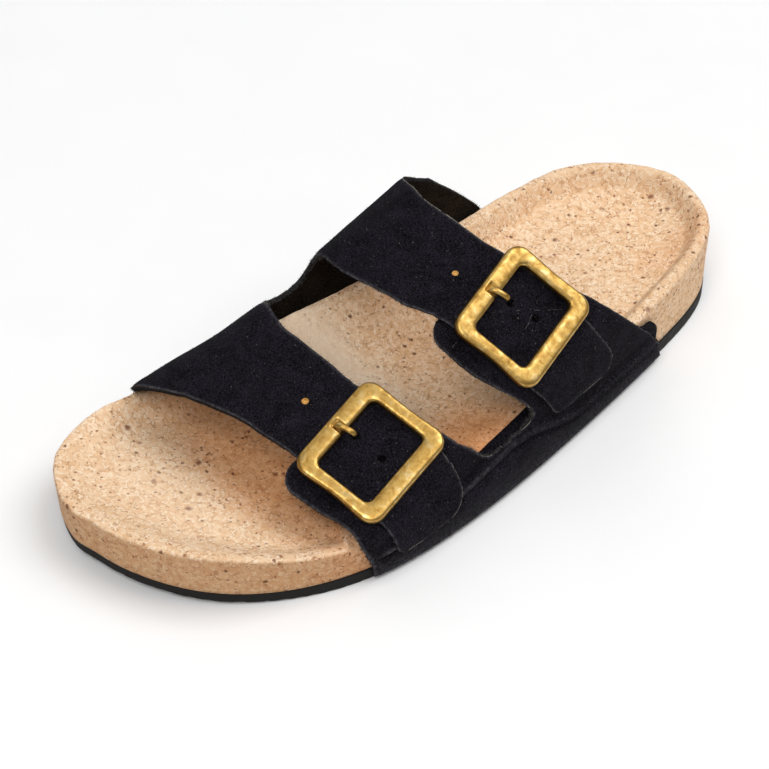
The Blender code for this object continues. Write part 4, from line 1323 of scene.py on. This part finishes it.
print("middle grey 808080 is", round(linear("808080")[0], 3), "in linear light")

# %% [markdown]
# The same few kinds of node come up in every finish: a noise of a real size, arithmetic, a change of range,
# a mix, a ramp, a stored number and a bump. A short function for each keeps the finishes below readable.

# %% Kinds of node that come up often


def noise_mm(tree, place, size, detail, **more):
    """Noise with blots of about that size in millimetres."""
    inputs = {"Vector": place, "Scale": 1 / size, "Detail": detail, **more}
    return add(tree, "ShaderNodeTexNoise", None, inputs).outputs[0]


def maths(tree, operation, *values):
    """Arithmetic on numbers or sockets."""
    return add(tree, "ShaderNodeMath", {"operation": operation}, dict(enumerate(values))).outputs[0]


def map_range(tree, *values):
    """A value, the two ends of its range and the two ends of the range it is turned to."""
    return add(tree, "ShaderNodeMapRange", None, dict(enumerate(values))).outputs[0]


def mix(tree, share, first, second, way="MIX"):
    """A share of the second colour on the first."""
    return add(tree, "ShaderNodeMix", {"data_type": "RGBA", "blend_type": way},
               {0: share, 6: first, 7: second}).outputs[2]


def tones(tree, value, *stops):
    """Ramp of hex colours along a value."""
    node = add(tree, "ShaderNodeValToRGB", None, {0: value})
    ramp = node.color_ramp
    while len(ramp.elements) < len(stops):
        ramp.elements.new(0.5)
    for element, (place, colour) in zip(ramp.elements, stops):
        element.position = place
        element.color = linear(colour)
    return node.outputs[0]


def stored(tree, name):
    """The number that the mesh stores for each point."""
    return add(tree, "ShaderNodeAttribute", {"attribute_name": name}).outputs["Fac"]


def relief(tree, height, strength, depth):
    """Bump of a depth in millimetres."""
    return add(tree, "ShaderNodeBump", None,
               {"Height": height, "Strength": strength, "Distance": depth * MM}).outputs[0]


print("short node functions:", [f.__name__ for f in (noise_mm, maths, map_range, mix, tones, stored, relief)])

# %% [markdown]
# ## Cork composite
# Moulded cork crumb in latex: matt, pale tan, mottled by granules about 2 mm wide, with thin curled brown
# bark lines, small dark dots and a few larger bark chips. Each of these is one layer at its real size.
# Random cells make granules, dots and chips; a narrow band of a noise makes the curled lines.

# %% Bark lines, dots and chips
CURL_MM, CURL_BREAK_MM, MORE_ON_LIP = 1.6, 2.4, 0.12
# cell size, share of cells without a spot, largest radius as a share of the cell, colour
CORK_SPOTS = ((2.1, 0.16, 0.27, "96603F"), (3.1, 0.14, 0.25, "74462F"), (8.0, 0.28, 0.17, "7F4E39"))


def band_share(tree, band, centre, core, edge, most):
    """Narrow band of a noise: most at its core, none past its edge."""
    near = maths(tree, "ABSOLUTE", maths(tree, "SUBTRACT", band, centre))
    return map_range(tree, near, core, edge, most, 0.0)


def bark_lines(tree, mm, bent, colour):
    """Brown curled lines, broken here and there, with pale ones beside them."""
    band = noise_mm(tree, bent, CURL_MM, 1.0)
    breaks = noise_mm(tree, mm, CURL_BREAK_MM, 2.0)
    shown = map_range(tree, breaks, 0.44, 0.64, 0.0, 0.80)
    curl = maths(tree, "MULTIPLY", band_share(tree, band, 0.5, 0.010, 0.085, 1.0), shown)
    colour = mix(tree, curl, colour, linear("B8865E"))
    beside = band_share(tree, band, 0.61, 0.015, 0.060, 0.7)
    return mix(tree, beside, colour, linear("FBE8CF")), curl


def bark_spots(tree, bent, colour):
    """Dots and chips in random cells, a few more of them on the lip."""
    lip = stored(tree, "lip")
    spots = []
    for size, least, reach, dark in CORK_SPOTS:
        cells = add(tree, "ShaderNodeTexVoronoi", None, {"Vector": bent, "Scale": 1 / size})
        pick = add(tree, "ShaderNodeSeparateColor", None, {0: cells.outputs["Color"]}).outputs[1]
        more = maths(tree, "MULTIPLY_ADD", lip, MORE_ON_LIP, pick)
        radius = map_range(tree, more, least, 1.0, -0.05, reach)
        inside = maths(tree, "SUBTRACT", cells.outputs["Distance"], radius)
        spots.append(map_range(tree, inside, -0.09, 0.03, 0.90, 0.0))
        colour = mix(tree, spots[-1], colour, linear(dark))
    return colour, spots


print("bark spots in", len(CORK_SPOTS), "sizes")

# %% [markdown]
# The layers go on one after the other: granules, a cloud of tone, lines, spots, then the tints that the mesh
# stores, among them painted shade and painted light. The heights for the bump come from the same layers, so
# that a pit lies under its mark.

# %% Cork
WARP_MM, WARP_REACH, GRANULE_MM, CLOUD_MM, PORE_MM = 1.1, 1.3, 1.5, 7.0, 0.5
CORK_RELIEF, CELL_DEPTH, MARK_DEPTH = 0.25, -0.6, -0.4
# what the mesh stores, its largest share, colour and way of mixing; warm and wall carry painted shade, pale
# carries painted light
CORK_TINTS = (
    ("lip", 0.06, "F3DABD", "MIX"), ("warm", 1.0, "F4CDAD", "MULTIPLY"), ("pale", 0.75, "FFE6CA", "MIX"),
    ("wall", 1.0, "D8C8B8", "MULTIPLY"), ("grey", 0.8, "B9B4AD", "MIX"),
)


def cork_finish():
    """Pale granules, curled bark lines, dots and chips, with pits to match."""
    mat, tree, shader, mm = new_finish("cork_composite")
    warp = add(tree, "ShaderNodeTexNoise", None, {"Vector": mm, "Scale": 1 / WARP_MM, "Detail": 2.0})
    bent = add(tree, "ShaderNodeVectorMath", {"operation": "MULTIPLY_ADD"},
               {0: warp.outputs["Color"], 1: (WARP_REACH,) * 3, 2: mm}).outputs[0]
    cells = add(tree, "ShaderNodeTexVoronoi", None, {"Vector": bent, "Scale": 1 / GRANULE_MM})
    granule = add(tree, "ShaderNodeSeparateColor", None, {0: cells.outputs["Color"]}).outputs[0]
    grain = tones(tree, granule, (0.0, "D8A97B"), (0.3, "E6BD91"), (0.7, "EECBA3"), (1.0, "F7DDBC"))
    cloud = noise_mm(tree, mm, CLOUD_MM, 4.0, Roughness=0.6)
    tone = tones(tree, cloud, (0.30, "E6BB90"), (0.50, "EDC8A2"), (0.70, "F3D5B3"))
    colour, curl = bark_lines(tree, mm, bent, mix(tree, 0.5, grain, tone))
    colour, spots = bark_spots(tree, bent, colour)
    for name, share, tint, way in CORK_TINTS:
        amount = maths(tree, "MULTIPLY", stored(tree, name), share)
        colour = mix(tree, amount, colour, linear(tint), way)
    pores = noise_mm(tree, mm, PORE_MM, 3.0)
    height = maths(tree, "MULTIPLY_ADD", cells.outputs["Distance"], CELL_DEPTH, pores)
    for mark in [curl] + spots:
        height = maths(tree, "MULTIPLY_ADD", mark, MARK_DEPTH, height)
    fill(tree, shader, {
        "Base Color": colour, "Normal": relief(tree, height, 0.6, CORK_RELIEF),
        "Roughness": map_range(tree, pores, 0.3, 0.7, 0.70, 0.92), "Specular IOR Level": 0.25})
    return mat


cork = cork_finish()
print("cork layers:", len(cork.node_tree.nodes), "nodes")

# %% [markdown]
# ## Suede
# Black suede is hide with its flesh side brushed up: a short nap that drinks light, with paler and darker
# strokes where it lies another way, and a soft sheen at glancing angles. The nap is finer than a pixel, so
# its noise is drawn a little coarser than life. Near a cut the nap is rubbed, and there it is paler; along
# the quarter's fold the same paler colour is partly rubbed nap and partly a painted highlight.

# %% Suede, its inside and its cut edge
NAP_MM, STROKE_MM, LINT_MM, PATCH_MM = 0.5, 8.0, 0.75, 1.4
NAP_OVER_STROKES, SUEDE_RELIEF = 2.8, 0.3


def suede_finish(name, dark, pale, rubbed, rub_share, lint_share, sheen=0.02):
    """Napped hide: brushed strokes, fine nap, specks of lint, paler where the stored share says: rubbed nap
    and the fold's painted highlight.
    """
    mat, tree, shader, mm = new_finish(name)
    strokes = noise_mm(tree, mm, STROKE_MM, 5.0, Roughness=0.62, Distortion=0.5)
    nap = noise_mm(tree, mm, NAP_MM, 2.0, Roughness=0.6)
    brushed = maths(tree, "MULTIPLY_ADD", nap, NAP_OVER_STROKES, strokes)
    colour = mix(tree, map_range(tree, brushed, 1.58, 2.25, 0.0, 1.0), linear(dark), linear(pale))
    specks = map_range(tree, noise_mm(tree, mm, LINT_MM, 1.0), 0.71, 0.80, 0.0, lint_share)
    colour = mix(tree, specks, colour, linear("6A665F"))
    patches = map_range(tree, noise_mm(tree, mm, PATCH_MM, 3.0), 0.38, 0.66, 0.15, rub_share)
    worn = maths(tree, "MULTIPLY", stored(tree, "rubbed"), patches)
    fill(tree, shader, {
        "Base Color": mix(tree, worn, colour, linear(rubbed)),
        "Normal": relief(tree, brushed, 0.6, SUEDE_RELIEF),
        "Roughness": 0.95, "Specular IOR Level": 0.06,
        "Sheen Weight": sheen, "Sheen Roughness": 0.5, "Sheen Tint": linear("8C8A98")})
    return mat


suede = suede_finish("black_suede", "030304", "242129", "626064", 0.70, 0.6)
suede_inside = suede_finish("brown_suede_inside", "0B0806", "2B231B", "6A5E4C", 0.5, 0.2)
suede_cut = suede_finish("suede_cut_edge", "08080A", "201E22", "625E58", 0.22, 0.4)
hide_core = suede_finish("tan_hide_core", "C08A48", "E8B96E", "F0CC8A", 0.3, 0.0, 0.0)
print("suede finishes:", [finish.name for finish in (suede, suede_inside, suede_cut, hide_core)])

# %% [markdown]
# ## Aged brass
# A cast copper and zinc alloy, tumbled and left to darken: warm yellow where hands polish it, brown in the
# dents and along the foot of the bars. Metallic is 1 and the colour is that of the metal; a mottled noise
# moves it from brown to bright, and the polish moves with it.

# %% Brass
MOTTLE_MM, FINE_MOTTLE_MM, BRASS_RELIEF = 2.6, 0.8, 0.2
FINE_SHARE, RIM_AGE = 0.22, -0.30


def brass_finish():
    """Mottled bright and brown brass."""
    mat, tree, shader, mm = new_finish("aged_brass")
    mottle = noise_mm(tree, mm, MOTTLE_MM, 3.0, Roughness=0.55, Distortion=0.4)
    fine = noise_mm(tree, mm, FINE_MOTTLE_MM, 2.0)
    mixed = maths(tree, "MULTIPLY_ADD", fine, FINE_SHARE, mottle)
    aged = maths(tree, "MULTIPLY_ADD", stored(tree, "rim"), RIM_AGE, mixed)
    tone = tones(tree, aged, (0.28, "7E5F2E"), (0.48, "AE8846"), (0.66, "C6A25C"), (0.86, "E0C68E"))
    fill(tree, shader, {
        "Base Color": tone, "Normal": relief(tree, mixed, 0.25, BRASS_RELIEF),
        "Roughness": map_range(tree, mixed, 0.45, 0.85, 0.44, 0.30), "Metallic": 1.0})
    return mat


brass = brass_finish()
print("brass:", len(brass.node_tree.nodes), "nodes")

# %% [markdown]
# ## Sole rubber
# A black foamed rubber sheet, cut and ground at its edge: matt, with fine grinding grain and patches of pale
# dust.

# %% Rubber
GRIND_MM, DUST_MM, RUBBER_RELIEF = 0.5, 3.2, 0.2


def rubber_finish():
    """Matt black rubber with grinding grain and dust."""
    mat, tree, shader, mm = new_finish("sole_rubber")
    grind = noise_mm(tree, mm, GRIND_MM, 3.0)
    dust = noise_mm(tree, mm, DUST_MM, 5.0, Roughness=0.65)
    tone = tones(tree, dust, (0.35, "121110"), (0.60, "1C1A19"), (0.80, "2E2B29"))
    grain = map_range(tree, grind, 0.64, 0.82, 0.0, 0.3)
    fill(tree, shader, {
        "Base Color": mix(tree, grain, tone, linear("383634")),
        "Normal": relief(tree, grind, 0.4, RUBBER_RELIEF),
        "Roughness": map_range(tree, dust, 0.3, 0.7, 0.55, 0.80), "Specular IOR Level": 0.2})
    return mat


rubber = rubber_finish()
print("rubber:", len(rubber.node_tree.nodes), "nodes")

# %% [markdown]
# The two suede pieces already have four places for finishes, in the order that Solidify and the punches
# were told. The other pieces have one finish each.

# %% Put the finishes on
suede_pair = (straps, tabs)
brass_pieces = [*frames.values(), *prongs.values()]
for piece in suede_pair:
    for i, finish in enumerate((suede, suede_inside, suede_cut, hide_core)):
        piece.data.materials[i] = finish
one_finish = [(footbed, cork), (outsole, rubber)]
one_finish += [(strip, suede) for strip in linings]
one_finish += [(piece, brass) for piece in brass_pieces]
for piece, finish in one_finish:
    piece.data.materials.append(finish)
finish_index = np.zeros(len(straps.data.polygons), int)
straps.data.polygons.foreach_get("material_index", finish_index)
print("strap faces by finish:", np.bincount(finish_index))
print("finishes on", len(suede_pair) + len(one_finish), "pieces")

# %% [markdown]
# ## Loose fibres and dust
# Cut suede frays: short fibres stand off its edges, and the nap lifts a few more over the face, with specks
# of dust among them. Thousands of small alike things on a surface are a task for Geometry Nodes: scatter
# points on faces, put a small shape on each, turn and scale it at random, and make the result real.

# %% Start, end and run a geometry tree


def start_tree(name, inputs):
    """Geometry tree with named inputs and a finish; gives the tree and the sockets of what comes in."""
    tree = bpy.data.node_groups.new(name, "GeometryNodeTree")
    face = tree.interface
    face.new_socket("Geometry", in_out="INPUT", socket_type="NodeSocketGeometry")
    for label, kind in inputs:
        face.new_socket(label, in_out="INPUT", socket_type="NodeSocket" + kind)
    face.new_socket("Finish", in_out="INPUT", socket_type="NodeSocketMaterial")
    face.new_socket("Geometry", in_out="OUTPUT", socket_type="NodeSocketGeometry")
    return tree, add(tree, "NodeGroupInput").outputs


def end_tree(tree, geometry, finish):
    """Make the result real, put its finish on and send it out."""
    real = add(tree, "GeometryNodeRealizeInstances", None, {0: geometry})
    done = add(tree, "GeometryNodeSetMaterial", None, {0: real.outputs[0], "Material": finish})
    add(tree, "NodeGroupOutput", None, {0: done.outputs[0]})
    return tree


def run_tree(obj, tree, values):
    """Run a tree with values for its named inputs, and keep the result as a plain mesh."""
    mod = obj.modifiers.new(tree.name, "NODES")
    mod.node_group = tree
    for item in tree.interface.items_tree:
        if item.in_out == "INPUT" and item.name in values:
            mod[item.identifier] = values[item.name]
    apply_modifiers(obj)
    print(obj.name, len(obj.data.polygons), "faces")
    return obj


print("helpers for geometry trees ready")

# %% [markdown]
# Two shapes are scattered, a tapering fibre and a flat speck. Each leans from the face's normal by a random
# angle and is turned about it by another.

# %% Scatter tree
LEAST_SCALE, MOST_SCALE, FIBRE_TIP, HALF_TURN = 0.45, 1.25, 0.01, 3.1416
SPECK_FORM = (1.0, 0.8, 0.35)


def scatter_tree(name, grow_shape):
    """Geometry tree that scatters a shape over the faces it is given."""
    tree, given = start_tree(name, (("Density", "Float"), ("Length", "Float"), ("Width", "Float"),
                                    ("Lean", "Float"), ("Seed", "Int")))
    spread = add(tree, "GeometryNodeDistributePointsOnFaces", None,
                 {"Mesh": given["Geometry"], "Density": given["Density"], "Seed": given["Seed"]})
    shape = grow_shape(tree, given)
    lean = maths(tree, "MULTIPLY", given["Lean"], -1.0)
    low = add(tree, "ShaderNodeCombineXYZ", None, {0: lean, 1: lean, 2: -HALF_TURN})
    high = add(tree, "ShaderNodeCombineXYZ", None, {0: given["Lean"], 1: given["Lean"], 2: HALF_TURN})
    tilt = add(tree, "FunctionNodeRandomValue", {"data_type": "FLOAT_VECTOR"},
               {0: low.outputs[0], 1: high.outputs[0], "Seed": given["Seed"]})
    turned = add(tree, "FunctionNodeRotateRotation", {"rotation_space": "LOCAL"},
                 {0: spread.outputs["Rotation"], 1: tilt.outputs[0]})
    size = add(tree, "FunctionNodeRandomValue", {"data_type": "FLOAT"},
               {2: LEAST_SCALE, 3: MOST_SCALE, "Seed": given["Seed"]})
    placed = add(tree, "GeometryNodeInstanceOnPoints", None,
                 {"Points": spread.outputs["Points"], "Instance": shape, "Rotation": turned.outputs[0],
                  "Scale": size.outputs[1]})
    return end_tree(tree, placed.outputs[0], given["Finish"])


def fibre_shape(tree, given):
    """Three-sided tapering fibre that stands on its wide end."""
    return add(tree, "GeometryNodeMeshCone", {"fill_type": "NONE"},
               {"Vertices": 3, "Side Segments": 1, "Radius Top": FIBRE_TIP * MM,
                "Radius Bottom": given["Width"], "Depth": given["Length"]}).outputs["Mesh"]


def speck_shape(tree, given):
    """Small flattened grain."""
    ball = add(tree, "GeometryNodeMeshIcoSphere", None, {"Radius": given["Width"], "Subdivisions": 1})
    return add(tree, "GeometryNodeTransform", None,
               {"Geometry": ball.outputs[0], "Scale": SPECK_FORM}).outputs[0]


fibre_tree = scatter_tree("fibres", fibre_shape)
speck_tree = scatter_tree("specks", speck_shape)
print("scatter trees:", fibre_tree.name, speck_tree.name)

# %% [markdown]
# The suede is torn most in the gap and in the outer notch. To keep fibres there, the edges of both are
# followed as lines of points, and only faces near such a line are given to the tree.

# %% Edges of the suede
EDGE_THREAD_LIFT, EDGE_POINTS = 0.04, 90
GAP_TOP, NOTCH_TOP, REAR_SPAN = 3.6, 9.6, (1.4, 6.2)


def edge_path(rows, side, low, high):
    """Places along one edge of a comb between two girth places, upwards in girth."""
    return sorted((g, edge[side]) for g, edge, below in rows if low <= g <= high)


def edge_line(path, lift_at):
    """Points along the cut edge of a comb, in millimetres."""
    run = np.linspace(0.0, len(path) - 1.0, EDGE_POINTS)
    g, y = [np.interp(run, np.arange(len(path)), column(path, k)) for k in (0, 1)]
    return skin(g, y, lift_at(g, y) - EDGE_PRESS + EDGE_THREAD_LIFT)


gap_path = edge_path(strap_rows, 1, GAP_FOOT, GAP_TOP)[::-1] + edge_path(strap_rows, 2, GAP_FOOT, GAP_TOP)
notch_path = edge_path(tab_rows, 1, NOTCH_TOP, NOTCH_FOOT)
notch_path += edge_path(tab_rows, 2, NOTCH_TOP, NOTCH_FOOT)[::-1]
gap_line, notch_line = edge_line(gap_path, strap_lift), edge_line(notch_path, tab_lift)
rear_line = edge_line(edge_path(strap_rows, 3, *REAR_SPAN), strap_lift)
torn = in_metres(np.vstack([gap_line, notch_line]))
print("torn edges:", len(torn), "points")

# %% [markdown]
# Many fibres stand on the cut edges and far fewer on the faces, brown ones on the inside. Each row of the
# table below is one scatter, with a seed of its own, so that every run gives the same fibres.

# %% Scatter on faces
PER_MM2, TORN_REACH = 1.0e6, 2.5


def fibre_finish(name, dark, pale):
    """Suede without lint or wear, for loose fibres."""
    return suede_finish(name, dark, pale, pale, 0.0, 0.0)


def faces_of(sources, finish_slot, line):
    """Mesh of the faces with one finish, all or only near a line, as ground to scatter on."""
    bm = bmesh.new()
    for obj in sources:
        bm.from_mesh(obj.data)
    unwanted = {f for f in bm.faces if f.material_index != finish_slot}
    if line is not None:
        tree = tree_of(line)
        unwanted |= {f for f in bm.faces if tree.find(f.calc_center_median())[2] > TORN_REACH * MM}
    bmesh.ops.delete(bm, geom=list(unwanted), context="FACES")
    mesh = bpy.data.meshes.new("ground")
    bm.to_mesh(mesh)
    bm.free()
    return mesh


def scatter(name, mesh, tree, finish, density, length, width, lean, seed):
    """Run a scatter tree on a mesh; sizes in millimetres, density per square millimetre."""
    obj = bpy.data.objects.new(name, mesh)
    bpy.context.scene.collection.objects.link(obj)
    return run_tree(obj, tree, {"Density": density * PER_MM2, "Length": length * MM, "Width": width * MM,
                                "Lean": lean, "Seed": seed, "Finish": finish})


fibre_dark = fibre_finish("suede_fibre", "08080B", "201F26")
fibre_pale = fibre_finish("suede_fibre_pale", "34343A", "76736C")
fibre_brown = fibre_finish("suede_fibre_brown", "120E0A", "332A20")
pale_thread = fibre_finish("pale_thread", "5A5751", "A8A296")
lint = fibre_finish("pale_lint", "6E6A5E", "B8AE94")
# name, ground, its finish, line it keeps to, tree, finish, density, length, width, lean, seed
SCATTERS = (
    ("suede_fray", suede_pair, SUEDE_CUT, None, fibre_tree, fibre_dark, 2.4, 0.8, 0.05, 0.9, 3),
    ("suede_fray_pale", suede_pair, SUEDE_CUT, None, fibre_tree, fibre_pale, 0.5, 0.7, 0.05, 1.0, 7),
    ("suede_torn_edge", suede_pair, SUEDE_CUT, torn, fibre_tree, fibre_pale, 9.0, 1.0, 0.05, 1.1, 19),
    ("suede_nap", suede_pair, SUEDE_FACE, None, fibre_tree, fibre_dark, 0.32, 0.55, 0.06, 1.2, 11),
    ("suede_inside_nap", (straps,), SUEDE_INSIDE, None, fibre_tree, fibre_brown, 0.5, 1.0, 0.07, 1.2, 13),
    ("suede_lint", suede_pair, SUEDE_FACE, None, speck_tree, lint, 0.016, 0.1, 0.11, 0.5, 17),
)
fibres = []
for name, sources, finish_slot, line, *how in SCATTERS:
    fibres.append(scatter(name, faces_of(sources, finish_slot, line), *how))

# %% [markdown]
# Fine pale lines lie on the suede: the bruised edges of gap, notch and straps and a few scratches. Each is
# a path of girth places and y; a second tree turns the path to a curve and sweeps a tiny round section
# along it. A noise along the path drops some of its steps, so that the line is broken as a real one is.

# %% Thread tree
THREAD_SIDES = 5


def thread_tree():
    """Geometry tree that sweeps a round section along edges."""
    tree, given = start_tree("threads", (("Radius", "Float"), ("Step", "Float")))
    path = add(tree, "GeometryNodeMeshToCurve", None, {0: given["Geometry"]})
    even = add(tree, "GeometryNodeResampleCurve", {"mode": "LENGTH"},
               {"Curve": path.outputs[0], "Length": given["Step"]})
    ring = add(tree, "GeometryNodeCurvePrimitiveCircle", None,
               {"Resolution": THREAD_SIDES, "Radius": given["Radius"]})
    tube = add(tree, "GeometryNodeCurveToMesh", None,
               {"Curve": even.outputs[0], "Profile Curve": ring.outputs[0], "Fill Caps": True})
    return end_tree(tree, tube.outputs[0], given["Finish"])


threads = thread_tree()
print("thread tree:", len(threads.nodes), "nodes")

# %% [markdown]
# The threads of gap, notch and rear edge are the thickest, those round the strap tips are finer, and the
# scratches tremble a little as they cross the suede.

# %% Thread lines
EDGE_THREAD, TIP_THREAD, SCRATCH, THREAD_LIFT, THREAD_STEP = 0.11, 0.05, 0.06, 0.03, 0.6
# how much of a thread is missing, from -1 for none to 1 for all of it; gap, notch and rear edge
THREAD_BREAK, EDGE_MISSING, LINE_MISSING = 1.8, (-0.05, 0.0, -0.45), -0.06
TREMBLE_SIZE, TREMBLE, SCRATCH_POINTS = 2.2, 0.25, 60
TIP_FROM, NEAR_END = 8.6, 1e-6
SCRATCHES = (
    ((7.556, 26.36), (7.832, 17.72), (8.149, 8.63)), ((7.421, 3.98), (7.790, 14.76), (8.272, 25.31)),
)
TAB_SCRATCHES = (((7.433, -10.31), (7.516, -17.37)),)


def wander_path(path, lift_at):
    """A path on the skin that trembles a little, just above the surface."""
    pts = on_skin(path, lambda g: lift_at(g) + THREAD_LIFT, SCRATCH_POINTS)
    sway = [rough(pts, TREMBLE_SIZE, TREMBLE, k) for k in (1.0, 2.0)]
    return pts + np.stack(sway + [np.zeros(len(pts))], 1)


def tip_path(tooth):
    """Places along the outer edge of a strap tip, from its rear edge round its end."""
    end = strap_ends[tooth]
    side = edge_path(strap_rows, 2 * tooth + 1, TIP_FROM, end + NEAR_END)
    return side + edge_path(strap_rows, 2 * tooth, end - NEAR_END, end + NEAR_END)


def thread_piece(name, lines, radius, missing, finish):
    """Thin threads along lines, broken here and there."""
    pts = np.vstack(lines)
    counts = [len(line) for line in lines]
    line_of = np.repeat(np.arange(len(lines)), counts)
    least = np.repeat(np.broadcast_to(missing, len(lines)), counts)
    kept = rough(pts, THREAD_BREAK, 1.0, 8.0) > least
    joined = (line_of[:-1] == line_of[1:]) & kept[:-1] & kept[1:]
    piece = new_piece(name, pts, [], [(i, i + 1) for i in np.flatnonzero(joined).tolist()])
    return run_tree(piece, threads, {"Radius": radius * MM, "Step": THREAD_STEP * MM, "Finish": finish})


edge_lines = [gap_line, notch_line, rear_line]
tip_lines = [edge_line(tip_path(tooth), strap_lift) for tooth in (0, 1)]
scratches = [wander_path(path, lap_lift) for path in SCRATCHES]
scratches += [wander_path(path, no_lift) for path in TAB_SCRATCHES]
fibres.append(thread_piece("suede_edge_threads", edge_lines, EDGE_THREAD, EDGE_MISSING, pale_thread))
fibres.append(thread_piece("suede_tip_threads", tip_lines, TIP_THREAD, LINE_MISSING, pale_thread))
fibres.append(thread_piece("suede_scratches", scratches, SCRATCH, LINE_MISSING, fibre_pale))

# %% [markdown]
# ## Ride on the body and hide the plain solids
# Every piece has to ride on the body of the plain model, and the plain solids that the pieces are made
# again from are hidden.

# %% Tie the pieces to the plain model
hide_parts("footbed")
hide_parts("outsole")
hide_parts("upper")
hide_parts("upper")
for place_name in places:
    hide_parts("buckle_frame_" + place_name)
    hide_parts("buckle_prong_" + place_name)
slots = {footbed: "cork", outsole: "outsole_rubber", straps: "suede", tabs: "suede"}
slots.update({piece: "suede" for piece in fibres + linings})
slots.update({piece: "brass" for piece in brass_pieces})
for piece, slot_name in slots.items():
    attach(piece, BODY)
print("pieces:", len(slots))

# %% [markdown]
# ## Studio
# The sandal stands on a wide sheet of white paper, with a very slight cloud in its tone.

# %% Floor
FLOOR_SIZE, PAPER_MM = 6000.0, 40.0

floor_corners = np.array([(-1, -1, 0), (1, -1, 0), (1, 1, 0), (-1, 1, 0)]) * FLOOR_SIZE / 2
floor = new_piece("floor", floor_corners + CENTRE, [(0, 1, 2, 3)])
floor_mat, floor_tree, floor_shader, floor_mm = new_finish("white_paper")
paper = tones(floor_tree, noise_mm(floor_tree, floor_mm, PAPER_MM, 2.0), (0.3, "F8F8F8"), (0.7, "FAFAFA"))
fill(floor_tree, floor_shader, {"Base Color": paper, "Roughness": 0.9})
floor.data.materials.append(floor_mat)
print("floor", FLOOR_SIZE * MM, "m wide")

# %% [markdown]
# A weak white sky and three wide lamps, so that no shadow is hard. The key lamp stands high on the heel side,
# a fill lamp in front reaches into the gap between the straps, and a weak lamp on the inner side gives the
# outer side a soft shadow. The camera stands where the photographer stood: on the outer front side, about
# forty degrees above the floor, with a long lens.

# %% Light and camera
CAMERA_AT = (387.65, -365.1, 490.8)
CAMERA_AIM = (1.4, -18.0, 21.4)
CAMERA_LENS, CAMERA_SENSOR, CAMERA_NEAR = 100.0, 36.0, 10.0
SKY_STRENGTH = 0.19
# place, size and power of each lamp
LAMPS = {
    "key": ((900.0, 1290.0, 2720.0), 2200.0, 54.5),
    "fill": ((850.0, -1220.0, 2050.0), 1300.0, 30.5),
    "side": ((-1500.0, 300.0, 2000.0), 1800.0, 9.5),
}

scene = bpy.context.scene
scene.view_settings.view_transform = "Standard"
sky = bpy.data.worlds.new("studio")
scene.world = sky
sky.use_nodes = True
fill(sky.node_tree, sky.node_tree.nodes["Background"], {"Color": linear("FFFFFF"), "Strength": SKY_STRENGTH})


def aim(obj, at, target):
    """Place an object and turn its -Z axis to a target, in millimetres."""
    obj.location = Vector(at) * MM
    obj.rotation_euler = (Vector(target) - Vector(at)).to_track_quat("-Z", "Y").to_euler()
    scene.collection.objects.link(obj)


for lamp_name, (lamp_at, lamp_size, lamp_power) in LAMPS.items():
    lamp = bpy.data.lights.new(lamp_name, "AREA")
    lamp.size = lamp_size * MM
    lamp.energy = lamp_power
    aim(bpy.data.objects.new(lamp_name, lamp), lamp_at, (0.0, 0.0, 0.0))
camera = bpy.data.cameras.new("camera")
camera.lens = CAMERA_LENS
camera.sensor_width = CAMERA_SENSOR
camera.clip_start = CAMERA_NEAR * MM
camera_obj = bpy.data.objects.new("camera", camera)
aim(camera_obj, CAMERA_AT, CAMERA_AIM)
scene.camera = camera_obj
print("camera", round((Vector(CAMERA_AT) - Vector(CAMERA_AIM)).length), "mm from the sandal")
